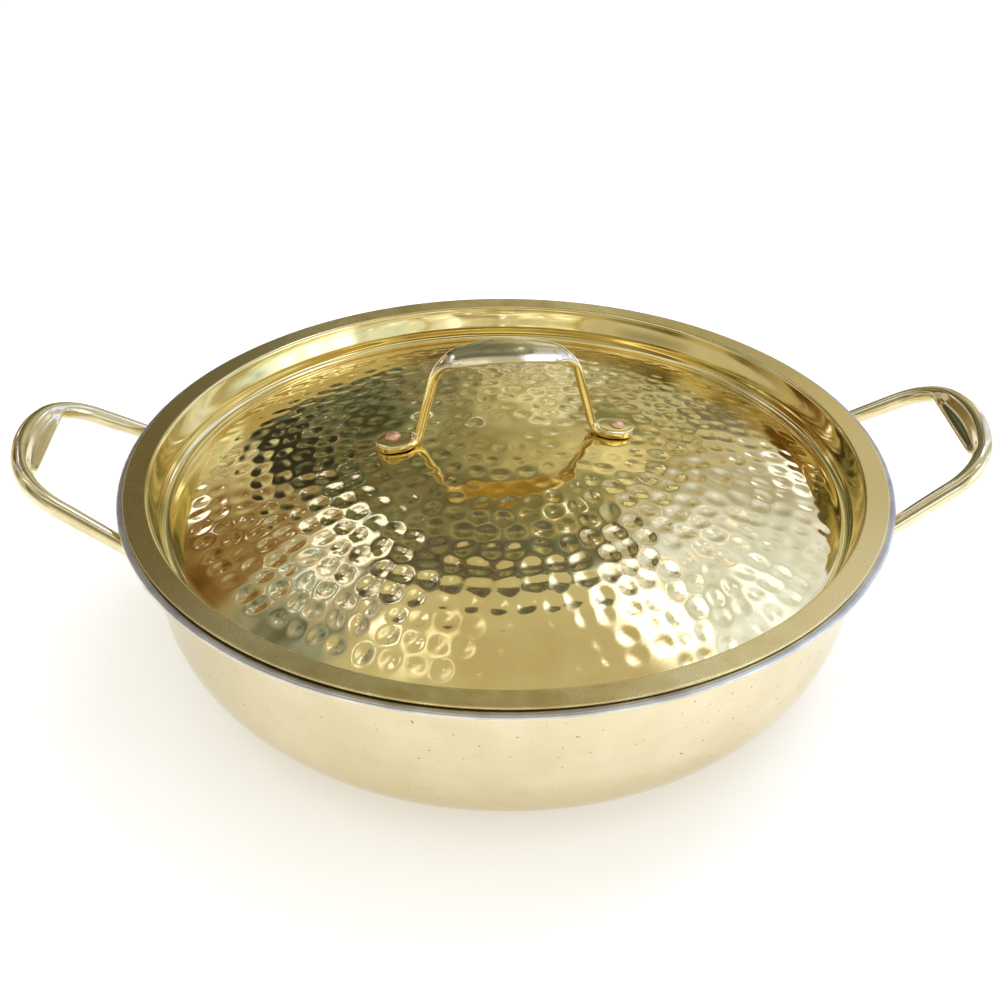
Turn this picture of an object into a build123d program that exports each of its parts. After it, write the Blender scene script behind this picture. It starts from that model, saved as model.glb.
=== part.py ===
from build123d import *
from math import atan2, cos, degrees, radians, sin, sqrt, tan
import os

# A lidded brass kadai: a shallow round pan with a flat rim, tinned inside, two riveted side
# handles that point up and out, and a hammered lid that plugs the mouth and has a strap handle.
# Millimetres, +Z up. The origin is the centre of the flat base, on the surface that the pan
# stands on. The side handles lie along X, and the lid's handle is turned a little from X.

# Pan: driving sizes
rim_radius = 150.0            # outer edge of the rim, over the tin
pan_height = 78.0             # base to the top of the rim, over the tin
rim_overhang = 8.0            # how far the rim stands out past the top of the wall
wall_lean = 5.5               # degrees that the wall leans in towards the base
base_corner_radius = 44.0     # round from the wall to the flat base, outside
pan_sheet = 2.2               # brass
rim_bend_radius = 2.0         # outside bend where the wall turns out into the rim
tin_thickness = 0.3           # tin coat over the inside, the rim and the rim's edge
tin_edge_drop = 1.0           # how far the tin comes down the rim's edge

# Lid: driving sizes
lid_sheet = 1.0               # brass
lid_seat_gap = 0.3            # between the lid's flange and the rim that it rests on
lid_edge_inset = 2.5          # the lid's edge lies this far inside the rim's edge
lid_flange_width = 9.1        # flat flange, from the edge to the crest of the trough
lid_crest_radius = 1.5        # round over the crest
lid_trough_depth = 16.2       # flange top to where the trough wall would meet the dome
lid_trough_lean = 11.7        # degrees that the trough wall leans in
lid_trough_radius = 3.5       # round in the bottom of the trough
dome_height = 26.7            # where the trough wall would meet the dome, up to the apex
lid_turn = 4.9                # degrees that the lid is turned from the side handles

# Lid handle: driving sizes
strap_thickness = 3.5
foot_edge_thickness = 3.2     # the upper face is crowned a little on the feet and legs,
grip_edge_thickness = 2.0     # and more on the grip, so the edges are thinner
grip_width = 15.9             # leaf shape, at its widest
shoulder_width = 10.4         # where the leaf starts to narrow into the legs
leg_width = 3.9               # half way down the legs
foot_width = 12.4
foot_reach = 7.0              # rivet to the foot's end
foot_heel = 9.3               # rivet to the bend up into the leg
lid_rivet_spacing = 87.0
left_rivet_shift = 1.6        # the left rivet sits this far behind the strap's middle line
grip_span = 52.0              # between the legs' upper bends
grip_shoulder_height = 32.7   # dome apex to the strap's middle, at the upper bends
grip_crown_height = 37.0      # dome apex to where the grip's two halves would meet
foot_bend_radius = 4.5
shoulder_bend_radius = 12.0
crown_bend_radius = 70.0

# Side handles: driving sizes
rod_diameter = 6.8
handle_tilt = 30.5            # degrees up from level
handle_drop = 5.9             # rim top to the handle's plane, at the rim's edge
leg_half_spacing = 38.5       # middle of a leg from the handle's middle, at the rim's edge
leg_toe_in = 11.1             # degrees that each leg leans towards the other
grip_reach = 40.9             # rim's edge to the middle of the grip's rod, along the plane
corner_bend_radius = 25.0
grip_bend_radius = 57.0
leaf_depth = 9.7              # middle of the rod to the leaf's inner edge
leaf_thickness = 3.4          # its inner edge is a full round of this thickness
pad_width = 27.0
pad_height = 18.0
pad_thickness = 3.2
pad_drop = 15.0               # rim top to the middle of the foot pad
pad_corner_radius = 8.0
pad_gap = 0.05                # between the pad and the wall that it is riveted to

# Rivets: driving sizes
side_rivet_radius = 2.4
side_rivet_head_radius = 4.0
side_rivet_head_height = 2.0
side_rivet_pitch = 18.0
side_rivet_drop = 18.0        # rim top to the rivets
lid_rivet_radius = 1.6
lid_rivet_head_radius = 3.1
lid_rivet_head_height = 1.5
rivet_gap = 0.06              # round the shank, and under both heads

os.makedirs("parts", exist_ok=True)


def save(part, name):
    """Label a finished piece and write it as its own file."""
    part.label = name
    export_step(part, f"parts/{name}.step")
    print(name, round(part.volume / 1000.0, 2), "cubic centimetres")


# Pan and its tin coat. Both are skins of one profile: a face that lies `depth` mm inside the
# outer face of the brass.
lean = radians(wall_lean)
skin_thickness = pan_sheet + tin_thickness
rim_underside = pan_height - skin_thickness
brass_rim_radius = rim_radius - tin_thickness
wall_top_radius = rim_radius - rim_overhang


def wall_radius(z, depth=0.0):
    """Radius at height z of the face that lies depth mm inside the wall's outer face."""
    return wall_top_radius - (rim_underside - z) * tan(lean) - depth / cos(lean)


def skin_profile(depth, edge_radius):
    """Corners of a skin's profile, from the axis over the base and wall to the rim's edge."""
    top = rim_underside + depth
    return [
        (0, depth),
        (wall_radius(depth, depth), depth),
        (wall_radius(top, depth), top),
        (edge_radius, top),
    ]


def skin_bends(depth):
    """Bend radii of that profile at the base's corner and under the rim."""
    return [base_corner_radius - depth, rim_bend_radius + depth]


with BuildPart() as pan_body:
    with BuildSketch(Plane.XZ):
        with BuildLine():
            outside = FilletPolyline(*skin_profile(0, brass_rim_radius), radius=skin_bends(0))
            inside = FilletPolyline(*skin_profile(pan_sheet, brass_rim_radius),
                                    radius=skin_bends(pan_sheet))
            Line(outside @ 0, inside @ 0)
            Line(outside @ 1, inside @ 1)
        make_face()
    revolve(axis=Axis.Z)

with BuildPart() as pan_lining:
    with BuildSketch(Plane.XZ):
        with BuildLine():
            under = FilletPolyline(*skin_profile(pan_sheet, brass_rim_radius),
                                   radius=skin_bends(pan_sheet))
            over = FilletPolyline(*skin_profile(skin_thickness, rim_radius),
                                  radius=skin_bends(skin_thickness))
            Line(under @ 0, over @ 0)
            edge_bottom = rim_underside + pan_sheet - tin_edge_drop
            Polyline(under @ 1, (brass_rim_radius, edge_bottom), (rim_radius, edge_bottom),
                     over @ 1)
        make_face()
    revolve(axis=Axis.Z)

# Lid. Its profile is worked out for the upper face, and again one sheet below it.
trough_lean = radians(lid_trough_lean)
flange_top = pan_height + lid_seat_gap + lid_sheet
lid_edge_radius = rim_radius - lid_edge_inset
crest_radius = lid_edge_radius - lid_flange_width
trough_radius = crest_radius - lid_trough_depth * tan(trough_lean)
dome_foot = flange_top - lid_trough_depth
dome_apex = dome_foot + dome_height
dome_radius = (trough_radius**2 + dome_height**2) / (2 * dome_height)
dome_centre = dome_apex - dome_radius


def lid_corners(depth):
    """Crest and trough corners of the face that lies depth mm below the lid's upper face."""
    slope = tan(trough_lean)
    offset = crest_radius - flange_top * slope + depth / cos(trough_lean)
    ball = dome_radius - depth
    a = 1 + slope**2
    b = offset * slope - dome_centre
    c = offset**2 + dome_centre**2 - ball**2
    trough_z = (-b + sqrt(b**2 - a * c)) / a
    crest_z = flange_top - depth
    return (offset + slope * crest_z, crest_z), (offset + slope * trough_z, trough_z)


crest_top, trough_top = lid_corners(0)
crest_under, trough_under = lid_corners(lid_sheet)


def dome_height_at(radius, depth=0.0):
    """Height of the dome at a radius, for the face depth mm below the upper one."""
    return dome_centre + sqrt((dome_radius - depth) ** 2 - radius**2)


lid_rivet_angle = atan2(lid_rivet_spacing / 2, sqrt(dome_radius**2 - lid_rivet_spacing**2 / 4))
turn = radians(lid_turn)
lid_plane = Plane(origin=(0, 0, 0), x_dir=(cos(turn), sin(turn), 0), z_dir=(sin(turn), -cos(turn), 0))


def dome_point(side, above):
    """Point above the dome on a lid rivet's axis, in the lid handle's plane, as (x, z)."""
    r = dome_radius + above
    return (side * r * sin(lid_rivet_angle), dome_centre + r * cos(lid_rivet_angle))


def lid_rivet_plane(side, above):
    """Plane square to a lid rivet's axis, its x pointing out along the handle."""
    x, z = dome_point(side, above)
    along = side * Vector(*lid_plane.x_dir)
    out = along * cos(lid_rivet_angle) - Vector(0, 0, sin(lid_rivet_angle))
    normal = along * sin(lid_rivet_angle) + Vector(0, 0, cos(lid_rivet_angle))
    back = -Vector(*lid_plane.z_dir)
    shift = left_rivet_shift if side < 0 else 0
    return Plane(origin=Vector(*lid_plane.from_local_coords((x, z, 0))) + back * shift,
                 x_dir=out, z_dir=normal)


with BuildPart() as lid:
    with BuildSketch(Plane.XZ) as lid_section:
        with BuildLine():
            Polyline((0, dome_apex - lid_sheet), (0, dome_apex))
            half = trough_top[0] / 2
            ThreePointArc((0, dome_apex), (half, dome_height_at(half)), trough_top)
            Polyline(trough_top, crest_top, (lid_edge_radius, flange_top),
                     (lid_edge_radius, flange_top - lid_sheet), crest_under, trough_under)
            half = trough_under[0] / 2
            ThreePointArc(trough_under, (half, dome_height_at(half, lid_sheet)),
                          (0, dome_apex - lid_sheet))
        make_face()
        for corner, radius in (
            (crest_top, lid_crest_radius),
            (crest_under, max(lid_crest_radius - lid_sheet, lid_sheet / 2)),
            (trough_top, lid_trough_radius),
            (trough_under, lid_trough_radius + lid_sheet),
        ):
            fillet(lid_section.vertices().sort_by_distance((corner[0], corner[1], 0))[0], radius)
    revolve(axis=Axis.Z)
    for side in (-1, 1):
        with Locations(lid_rivet_plane(side, 0).location):
            Hole(lid_rivet_radius + rivet_gap, depth=3 * lid_sheet)

# Lid handle: a strap carried along a bent path and cut to an outline seen from above. The feet
# and legs have a flat upper face and the grip a crowned one, so they are two sweeps.
grip_shoulder_z = dome_apex + grip_shoulder_height
grip_crown_z = dome_apex + grip_crown_height
foot_middle = strap_thickness / 2 + rivet_gap
half_thick = strap_thickness / 2
shoulder_x = grip_span / 2 - shoulder_width / 2.4
leg_x = (grip_span + lid_rivet_spacing - 2 * foot_heel) / 4
foot_x = lid_rivet_spacing / 2 + foot_reach - foot_width / 2


def foot_point(side, along):
    """Point on a foot's middle line, along mm outwards from its rivet, as (x, z)."""
    x, z = dome_point(side, foot_middle)
    return (x + side * along * cos(lid_rivet_angle), z - along * sin(lid_rivet_angle))


strap_end = foot_reach + strap_thickness
strap_route = [foot_point(-1, strap_end), foot_point(-1, -foot_heel),
               (-grip_span / 2, grip_shoulder_z), (0, grip_crown_z), (grip_span / 2, grip_shoulder_z),
               foot_point(1, -foot_heel), foot_point(1, strap_end)]
strap_bends = [foot_bend_radius, shoulder_bend_radius, crown_bend_radius,
               shoulder_bend_radius, foot_bend_radius]


def strap(width, edge_thickness):
    """The whole strap at one width, its upper face crowned down to the edge thickness."""
    edge_level = edge_thickness - half_thick
    half_wide = width / 2
    with BuildPart() as piece:
        with BuildLine(lid_plane):
            path = FilletPolyline(*strap_route, radius=strap_bends)
        with BuildSketch(Plane(origin=path @ 0, x_dir=-lid_plane.z_dir, z_dir=path % 0)):
            with BuildLine():
                Polyline((half_wide, edge_level), (half_wide, -half_thick),
                         (-half_wide, -half_thick), (-half_wide, edge_level))
                ThreePointArc((-half_wide, edge_level), (0, half_thick), (half_wide, edge_level))
            make_face()
        sweep(path=path)
    return piece.part


def strap_outline():
    """The strap's outline seen from above: round feet, narrow legs and a leaf-shaped grip."""
    with BuildSketch(Plane.XY) as outline:
        with BuildLine():
            half_foot = foot_width / 2
            diagonal = half_foot * sin(radians(45))
            ThreePointArc((foot_x + half_foot, 0), (foot_x + diagonal, diagonal), (foot_x, half_foot))
            Line((foot_x, half_foot), (foot_x - half_foot / 2, half_foot))
            Spline((foot_x - half_foot / 2, half_foot), (leg_x + leg_width, leg_width * 0.6),
                   (leg_x, leg_width / 2), (leg_x - leg_width, leg_width * 0.6),
                   (shoulder_x, shoulder_width / 2), (shoulder_x / 2, grip_width * 0.44),
                   (0, grip_width / 2), tangents=[(-1, 0), (-1, 0)])
            mirror(about=Plane.YZ)
            mirror(about=Plane.XZ)
        make_face()
    return outline.sketch.rotate(Axis.Z, lid_turn)


flat_strap = strap(foot_width, foot_edge_thickness)
crowned_strap = strap(grip_width, grip_edge_thickness)
outline_face = strap_outline()
strap_top = grip_crown_z + strap_thickness

with BuildPart() as lid_handle:
    add(flat_strap)
    # Clear the grip's stretch, then put the crowned grip in it.
    with BuildSketch(Plane.XY.rotated((0, 0, lid_turn))):
        Rectangle(2 * shoulder_x, 2 * grip_width)
    extrude(amount=strap_top, mode=Mode.SUBTRACT)
    add(crowned_strap)
    extrude(outline_face, amount=strap_top, dir=(0, 0, 1), mode=Mode.INTERSECT)
    for side in (-1, 1):
        with Locations(lid_rivet_plane(side, foot_middle).location):
            Hole(lid_rivet_radius + rivet_gap, depth=strap_thickness)


def rivet(plane, grip_length, radius, head_radius, head_height):
    """A rivet set along a plane's normal: a domed head above its grip and one below it.

    The plane lies on the outer face of what the rivet holds; grip_length is the thickness held.
    """
    bottom = -grip_length - rivet_gap
    # Each head is a cap of a ball; its halfway point lies at half the cap's angle.
    ball_radius = (head_radius**2 + head_height**2) / (2 * head_height)
    half_angle = atan2(head_height, head_radius)
    halfway = (ball_radius * sin(half_angle), head_height - ball_radius * (1 - cos(half_angle)))
    with BuildPart() as piece:
        axis_plane = Plane(origin=plane.origin, x_dir=plane.x_dir, z_dir=-plane.y_dir)
        with BuildSketch(axis_plane):
            with BuildLine():
                ThreePointArc((0, rivet_gap + head_height), (halfway[0], rivet_gap + halfway[1]),
                              (head_radius, rivet_gap))
                Polyline((head_radius, rivet_gap), (radius, rivet_gap), (radius, bottom),
                         (head_radius, bottom))
                ThreePointArc((head_radius, bottom), (halfway[0], bottom - halfway[1]),
                              (0, bottom - head_height))
                Line((0, bottom - head_height), (0, rivet_gap + head_height))
            make_face()
        revolve(axis=Axis(plane.origin, plane.z_dir))
    return piece.part


def side_name(side):
    """Left is -X and right is +X, as in the photograph."""
    return "right" if side > 0 else "left"


for side in (-1, 1):
    head_plane = lid_rivet_plane(side, foot_middle + strap_thickness / 2)
    save(rivet(head_plane, lid_sheet + 2 * foot_middle, lid_rivet_radius, lid_rivet_head_radius,
               lid_rivet_head_height), f"lid_rivet_{side_name(side)}")

# Side handles. Each is a bent rod in a tilted plane, with a leaf-shaped web inside its grip and
# a pad at each foot that is curved to the wall. In the plane, x runs out from the rim's edge and
# y along the rim.
tilt = radians(handle_tilt)
toe_in = radians(leg_toe_in)
handle_z = pan_height - handle_drop


def handle_plane(side):
    """The tilted plane of a side handle: x outwards and up, y level."""
    return Plane(origin=(side * rim_radius, 0, handle_z), x_dir=(side * cos(tilt), 0, sin(tilt)),
                 z_dir=(-side * sin(tilt), 0, cos(tilt)))


def rod_bends():
    """Where a leg ends and where its corner meets the grip's arc, with the corner's halfway point.

    The corner's arc touches the leg's line and the inside of the grip's arc, so its centre lies
    corner_bend_radius inside the line, and the difference of the two radii from the grip's centre.
    """
    grip_centre = Vector(grip_reach - grip_bend_radius, 0)
    along = Vector(cos(toe_in), -sin(toe_in))
    inwards = Vector(-sin(toe_in), -cos(toe_in))
    start = Vector(0, leg_half_spacing) + inwards * corner_bend_radius
    offset = start - grip_centre
    reach = offset.dot(along)
    rest = offset.dot(offset) - (grip_bend_radius - corner_bend_radius) ** 2
    centre = start + along * (sqrt(reach**2 - rest) - reach)
    leg_end = centre - inwards * corner_bend_radius
    outwards = (centre - grip_centre).normalized()
    corner_end = centre + outwards * corner_bend_radius
    halfway = centre + (outwards - inwards).normalized() * corner_bend_radius
    return leg_end, halfway, corner_end


def leg_point(along, foot=1):
    """Point on a leg's middle line in the handle's plane, along mm out from the rim's edge."""
    return (along, foot * (leg_half_spacing - tan(toe_in) * along))


def foot_angle():
    """Angle about Z at which a leg's middle line meets the wall's outer face."""
    height = handle_z
    slope = tan(toe_in) / cos(tilt)
    # Seen from above, the leg is y = far_y - slope * x; it crosses the wall's circle at x.
    far_y = leg_half_spacing + slope * rim_radius
    for _ in range(8):
        a = 1 + slope**2
        c = far_y**2 - wall_radius(height) ** 2
        x = (slope * far_y + sqrt(slope**2 * far_y**2 - a * c)) / a
        height = handle_z + (x - rim_radius) * tan(tilt)
    return atan2(far_y - slope * x, x)


leg_angle = foot_angle()
leg_end, corner_halfway, corner_end = rod_bends()
root = (wall_radius(handle_z) * cos(leg_angle) - rim_radius) / cos(tilt) - 3 * pan_sheet
rivet_angle = side_rivet_pitch / 2 / wall_radius(pan_height - side_rivet_drop)


def rod_line(first, last):
    """The rod's middle line in the handle's plane, from one leg round the grip to the other."""
    back = [(point.X, -point.Y) for point in (corner_end, corner_halfway, leg_end)]
    there = [(point.X, point.Y) for point in (leg_end, corner_halfway, corner_end)]
    Line(first, there[0])
    ThreePointArc(*there)
    ThreePointArc(there[2], (grip_reach, 0), back[0])
    ThreePointArc(*back)
    Line(back[2], last)


def wall_plane(side, foot, angle, z, outwards=0.0):
    """Plane square to the wall at an angle from a foot's middle and a height."""
    about = foot * leg_angle + angle
    radial = Vector(cos(about), sin(about), 0)
    if side < 0:
        radial = Vector(-radial.X, radial.Y, 0)
    normal = radial * cos(lean) - Vector(0, 0, sin(lean))
    level = Vector(-radial.Y, radial.X, 0)
    origin = radial * wall_radius(z) + Vector(0, 0, z) + normal * outwards
    return Plane(origin=origin, x_dir=level, z_dir=normal)


def rivet_planes(side, outwards):
    """The planes of one handle's rivets, with the names of their places."""
    places = []
    for foot, foot_name in ((-1, "front"), (1, "back")):
        for shift, shift_name in ((-1, "outer"), (1, "inner")):
            angle = -foot * shift * rivet_angle
            plane = wall_plane(side, foot, angle, pan_height - side_rivet_drop, outwards)
            places.append((plane, f"{foot_name}_{shift_name}"))
    return places


def bowl_blank(gap):
    """The pan's outer form as a filled solid, gap mm larger, to fit the pads to."""
    with BuildPart() as blank:
        with BuildSketch(Plane.XZ):
            with BuildLine():
                Polyline((0, 0), (wall_radius(0, -gap), 0),
                         (wall_radius(rim_underside, -gap), rim_underside), (0, rim_underside),
                         close=True)
            make_face()
        revolve(axis=Axis.Z)
    return blank.part


def foot_pad(side, foot):
    """A pad with round corners, its outer face and its inner face curved to the wall."""
    with BuildPart() as pad:
        with BuildSketch(wall_plane(side, foot, 0, pan_height - pad_drop, -2 * pan_sheet)):
            RectangleRounded(pad_width, pad_height, pad_corner_radius)
        extrude(amount=2 * pan_sheet + 2 * pad_thickness)
        add(pad_outside, mode=Mode.INTERSECT)
    return pad.part


def grip_web(plane):
    """The leaf-shaped web: the space inside the rod's middle line, past its inner edge."""
    inner_edge = grip_reach - leaf_depth + leaf_thickness / 2
    with BuildPart() as web:
        with BuildSketch(plane):
            with Locations((inner_edge + rim_radius / 2, 0)):
                Rectangle(rim_radius, rim_radius)
        extrude(amount=leaf_thickness / 2, both=True)
        with BuildSketch(Plane(origin=plane.from_local_coords((inner_edge, 0, 0)), z_dir=plane.y_dir)):
            Circle(leaf_thickness / 2)
        extrude(amount=rim_radius, both=True)
        with BuildSketch(plane):
            with BuildLine():
                rod_line(leg_point(0), leg_point(0, -1))
                Line(leg_point(0, -1), leg_point(0))
            make_face()
        extrude(amount=leaf_thickness, both=True, mode=Mode.INTERSECT)
    return web.part


def side_handle(side):
    """One side handle, with its rivet holes."""
    plane = handle_plane(side)
    pads = [foot_pad(side, foot) for foot in (-1, 1)]
    with BuildPart() as handle:
        with BuildLine(plane) as rod_path:
            rod_line(leg_point(root), leg_point(root, -1))
        path = rod_path.wires()[0]
        with BuildSketch(Plane(origin=path @ 0, z_dir=path % 0)):
            Circle(rod_diameter / 2)
        sweep(path=path)
        # The web fills the grip from the rod's middle line in to a straight, round inner edge.
        add(grip_web(plane))
        for pad in pads:
            add(pad)
        add(pad_inside, mode=Mode.SUBTRACT)
        for rivet_plane, _ in rivet_planes(side, 0):
            with Locations(rivet_plane.location):
                Hole(side_rivet_radius + rivet_gap, depth=3 * pad_thickness)
    return handle.part


pad_outside = bowl_blank(pad_gap + pad_thickness)
pad_inside = bowl_blank(pad_gap)
for side in (-1, 1):
    save(side_handle(side), f"side_handle_{side_name(side)}")
    for hole_plane, place in rivet_planes(side, 0):
        with pan_body:
            with Locations(hole_plane.location):
                Hole(side_rivet_radius + rivet_gap, depth=3 * skin_thickness)
        with pan_lining:
            with Locations(hole_plane.location):
                Hole(side_rivet_radius + rivet_gap, depth=3 * skin_thickness)
    for head_plane, place in rivet_planes(side, pad_gap + pad_thickness):
        save(rivet(head_plane, skin_thickness + pad_gap + pad_thickness, side_rivet_radius,
                   side_rivet_head_radius, side_rivet_head_height),
             f"{side_name(side)}_handle_rivet_{place}")

save(pan_body.part, "pan_body")
save(pan_lining.part, "pan_lining")
save(lid.part, "lid")
save(lid_handle.part, "lid_handle")
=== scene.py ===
# %% [markdown]
# # A lidded brass kadai
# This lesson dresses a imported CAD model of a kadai, a shallow brass cooking pan with a hammered
# lid. The CAD model is the fixed frame: it says where each piece is and what it rides on. Every
# visible piece is worked out again here as a smooth surface, because polished metal shows each
# facet of a CAD mesh as a broken reflection. All lengths are written in millimetres and turned
# into metres where a mesh is made.

# %% Load the frame
import bmesh
import bpy
import numpy as np
from mathutils import Matrix, Vector


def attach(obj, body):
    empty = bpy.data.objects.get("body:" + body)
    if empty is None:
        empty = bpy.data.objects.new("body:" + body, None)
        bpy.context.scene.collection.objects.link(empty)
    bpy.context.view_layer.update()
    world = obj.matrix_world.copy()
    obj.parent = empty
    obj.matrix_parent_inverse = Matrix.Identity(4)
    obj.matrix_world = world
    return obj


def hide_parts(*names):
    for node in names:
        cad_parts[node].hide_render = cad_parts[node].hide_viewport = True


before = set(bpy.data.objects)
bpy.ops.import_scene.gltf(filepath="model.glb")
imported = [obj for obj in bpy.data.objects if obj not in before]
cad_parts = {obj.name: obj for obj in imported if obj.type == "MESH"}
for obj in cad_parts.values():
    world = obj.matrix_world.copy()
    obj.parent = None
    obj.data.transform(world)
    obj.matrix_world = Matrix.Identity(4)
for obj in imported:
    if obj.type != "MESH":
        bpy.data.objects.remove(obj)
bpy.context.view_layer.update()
MM = 0.001

# %% [markdown]
# ## The camera
# The photograph was taken from close by, a little left of the middle, looking down by about 33
# degrees. The numbers come from fitting a camera to the rim, the lid's crest, the legs of the
# handles and the rivets. The camera is made first, because every later choice is judged from it.

# %% Camera
camera_data = bpy.data.cameras.new("camera")
camera_data.lens = 49.13
camera_data.sensor_width = 36.0
camera_data.clip_start = 0.01
camera = bpy.data.objects.new("camera", camera_data)
bpy.context.scene.collection.objects.link(camera)
camera_right = Vector((0.999073, -0.042981, 0.002580))
camera_up = Vector((0.021317, 0.545779, 0.837658))
camera_back = -Vector((0.037411, 0.836826, -0.546189))
camera.matrix_world = Matrix.Translation(Vector((-22.8, -459.9, 359.0)) * MM) @ Matrix(
    (camera_right, camera_up, camera_back)).transposed().to_4x4()
bpy.context.scene.camera = camera
bpy.context.scene.view_settings.view_transform = "Standard"
print("camera height:", round(camera.location.z, 3), "m")

# %% [markdown]
# ## From arrays to meshes
# A surface here is a grid of points: rows along a profile or a path, and columns around it. One
# function turns such a grid into faces, and another welds poles, turns a shape that came out
# inside out, and puts the mesh into the scene.

# %% Grid helpers
def unit(v):
    """A vector, or each vector of an array, divided by its own length."""
    v = np.asarray(v, float)
    return v / np.linalg.norm(v, axis=-1, keepdims=True)


def grid_faces(index, close_rows=False, close_columns=True):
    """Faces of a grid of vertex numbers: each joins a point to the next in its row and column.

    A face's normal is the column direction crossed with the row direction.
    """
    if close_rows:
        index = np.concatenate([index, index[:1]], axis=0)
    if close_columns:
        index = np.concatenate([index, index[:, :1]], axis=1)
    corners = (index[:-1, :-1], index[:-1, 1:], index[1:, 1:], index[1:, :-1])
    return np.stack(corners, axis=-1).reshape(-1, 4)


def make_piece(name, points, faces, body, slot, materials, nodes=(), fan=None, face_material=None,
               lip_shade=None):
    """Put points (mm) and faces into a smooth mesh object at the origin, and hang it on a body.

    faces is an array of quads, and fan an array of triangles that close a pole. lip_shade is a
    number from 0 to 1 for each point, a painted shade which a material can read.
    """
    triangles = [] if fan is None else fan.tolist()
    mesh = bpy.data.meshes.new(name)
    mesh.from_pydata((np.asarray(points) * MM).tolist(), [], faces.tolist() + triangles)
    for material in materials:
        mesh.materials.append(material)
    if face_material is not None:
        mesh.polygons.foreach_set("material_index", np.asarray(face_material, np.int32))
    if lip_shade is not None:
        mesh.attributes.new("lip_shade", "FLOAT", "POINT").data.foreach_set("value", lip_shade.ravel())
    bm = bmesh.new()
    bm.from_mesh(mesh)
    bmesh.ops.remove_doubles(bm, verts=bm.verts, dist=1e-7)
    if bm.calc_volume(signed=True) < 0:
        bmesh.ops.reverse_faces(bm, faces=bm.faces)
    bm.to_mesh(mesh)
    volume = bm.calc_volume() / MM**3 / 1000
    bm.free()
    mesh.polygons.foreach_set("use_smooth", np.ones(len(mesh.polygons), bool))
    piece = bpy.data.objects.new(name, mesh)
    bpy.context.scene.collection.objects.link(piece)
    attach(piece, body)
    if nodes:
        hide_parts(*nodes)
    print(f"{name}: {len(mesh.polygons)} faces, {volume:.2f} cubic centimetres")
    return piece


def rounded_path(corners, radii, step=np.radians(5)):
    """A line through corners, with each inner corner replaced by an arc that touches both runs.

    The arc's centre lies on the corner's bisector, at the radius over the sine of the half angle.
    """
    corners = np.asarray(corners, float)
    runs = [corners[:1]]
    for before, corner, after, radius in zip(corners, corners[1:], corners[2:], radii):
        u, v = unit(before - corner), unit(after - corner)
        half = np.arccos(np.clip(u @ v, -1, 1)) / 2
        centre = corner + unit(u + v) * radius / np.sin(half)
        turn = np.pi - 2 * half
        t = np.linspace(0, 1, max(3, int(np.ceil(turn / step)) + 1))[:, None]
        start = corner + u * radius / np.tan(half) - centre
        end = corner + v * radius / np.tan(half) - centre
        runs.append(centre + (np.sin((1 - t) * turn) * start + np.sin(t * turn) * end) / np.sin(turn))
    runs.append(corners[-1:])
    return np.concatenate(runs)


def with_guards(line, longest=4.0, guard=0.35):
    """The same line with long runs divided, and a point close to each end of a run.

    The close points keep a flat face flat in smooth shading, right up to its rounded edge.
    """
    spans = [line[:1]]
    for a, b in zip(line, line[1:]):
        length = np.linalg.norm(b - a)
        if length > 3 * guard:
            inner = np.linspace(guard, length - guard, max(2, int(np.ceil(length / longest)) + 1))
            spans.append(a + (b - a) * (inner / length)[:, None])
        spans.append(b[None])
    return np.concatenate(spans)


def revolved(profile, segments):
    """Points of a surface of revolution: row i is the circle of the profile's point (r, z)."""
    angle = np.arange(segments) * 2 * np.pi / segments
    r, z = profile[:, 0, None], profile[:, 1, None]
    return np.stack(np.broadcast_arrays(r * np.cos(angle), r * np.sin(angle), z), axis=-1)


def revolved_piece(name, section, segments, **rest):
    """A closed section turned about Z. A section that starts and ends on the axis has poles."""
    rings = revolved(section, segments)
    index = np.arange(rings.shape[0] * segments).reshape(-1, segments)
    closed = section[0, 0] > 1e-6
    return make_piece(name, rings.reshape(-1, 3), grid_faces(index, close_rows=closed), **rest)


def smoothstep(low, high, x):
    """0 below low, 1 above high, and a smooth S between them."""
    t = np.clip((x - low) / (high - low), 0, 1)
    return t * t * (3 - 2 * t)


# %% [markdown]
# ## Finishes
# Brass is a yellow alloy of copper and zinc. Polished, it has almost no colour of its own in the
# shade: it shows the room, tinted. So its look comes from a metallic shader with a pale golden
# tint, a low roughness, and small unevenness in shape that bends the reflections. One function
# turns a written colour into the linear one that the shader needs, one adds a node, and a few
# short ones name the nodes that come back again and again.

# %% Node helpers
def linear(hex_colour):
    """An sRGB colour like #C8A050 as linear red, green, blue and a full alpha."""
    channels = np.array([int(hex_colour[i:i + 2], 16) / 255 for i in (1, 3, 5)])
    low = channels / 12.92
    high = ((channels + 0.055) / 1.055) ** 2.4
    return (*np.where(channels <= 0.04045, low, high).tolist(), 1.0)


def add_node(tree, kind, settings=None, **links):
    """Add a node, set its properties, then fill its inputs with values or sockets.

    An input goes by its name, or by its number: i0 is the first one.
    """
    node = tree.nodes.new(kind)
    for name, value in (settings or {}).items():
        setattr(node, name, value)
    for name, value in links.items():
        socket = node.inputs[int(name[1:]) if name[0] == "i" and name[1:].isdigit() else name]
        if isinstance(value, bpy.types.NodeSocket):
            tree.links.new(value, socket)
        else:
            socket.default_value = value
    return node


def empty_material(name):
    """A node material that is still empty, as (material, node tree, its surface's socket)."""
    material = bpy.data.materials.new(name)
    material.use_nodes = True
    tree = material.node_tree
    tree.nodes.clear()
    return material, tree, tree.nodes.new("ShaderNodeOutputMaterial").inputs["Surface"]


def calculate(tree, operation, *values, **settings):
    """The result of a Math node for one to three numbers or sockets."""
    node = add_node(tree, "ShaderNodeMath", {"operation": operation, **settings},
                    **{f"i{place}": value for place, value in enumerate(values)})
    return node.outputs["Value"]


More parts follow.
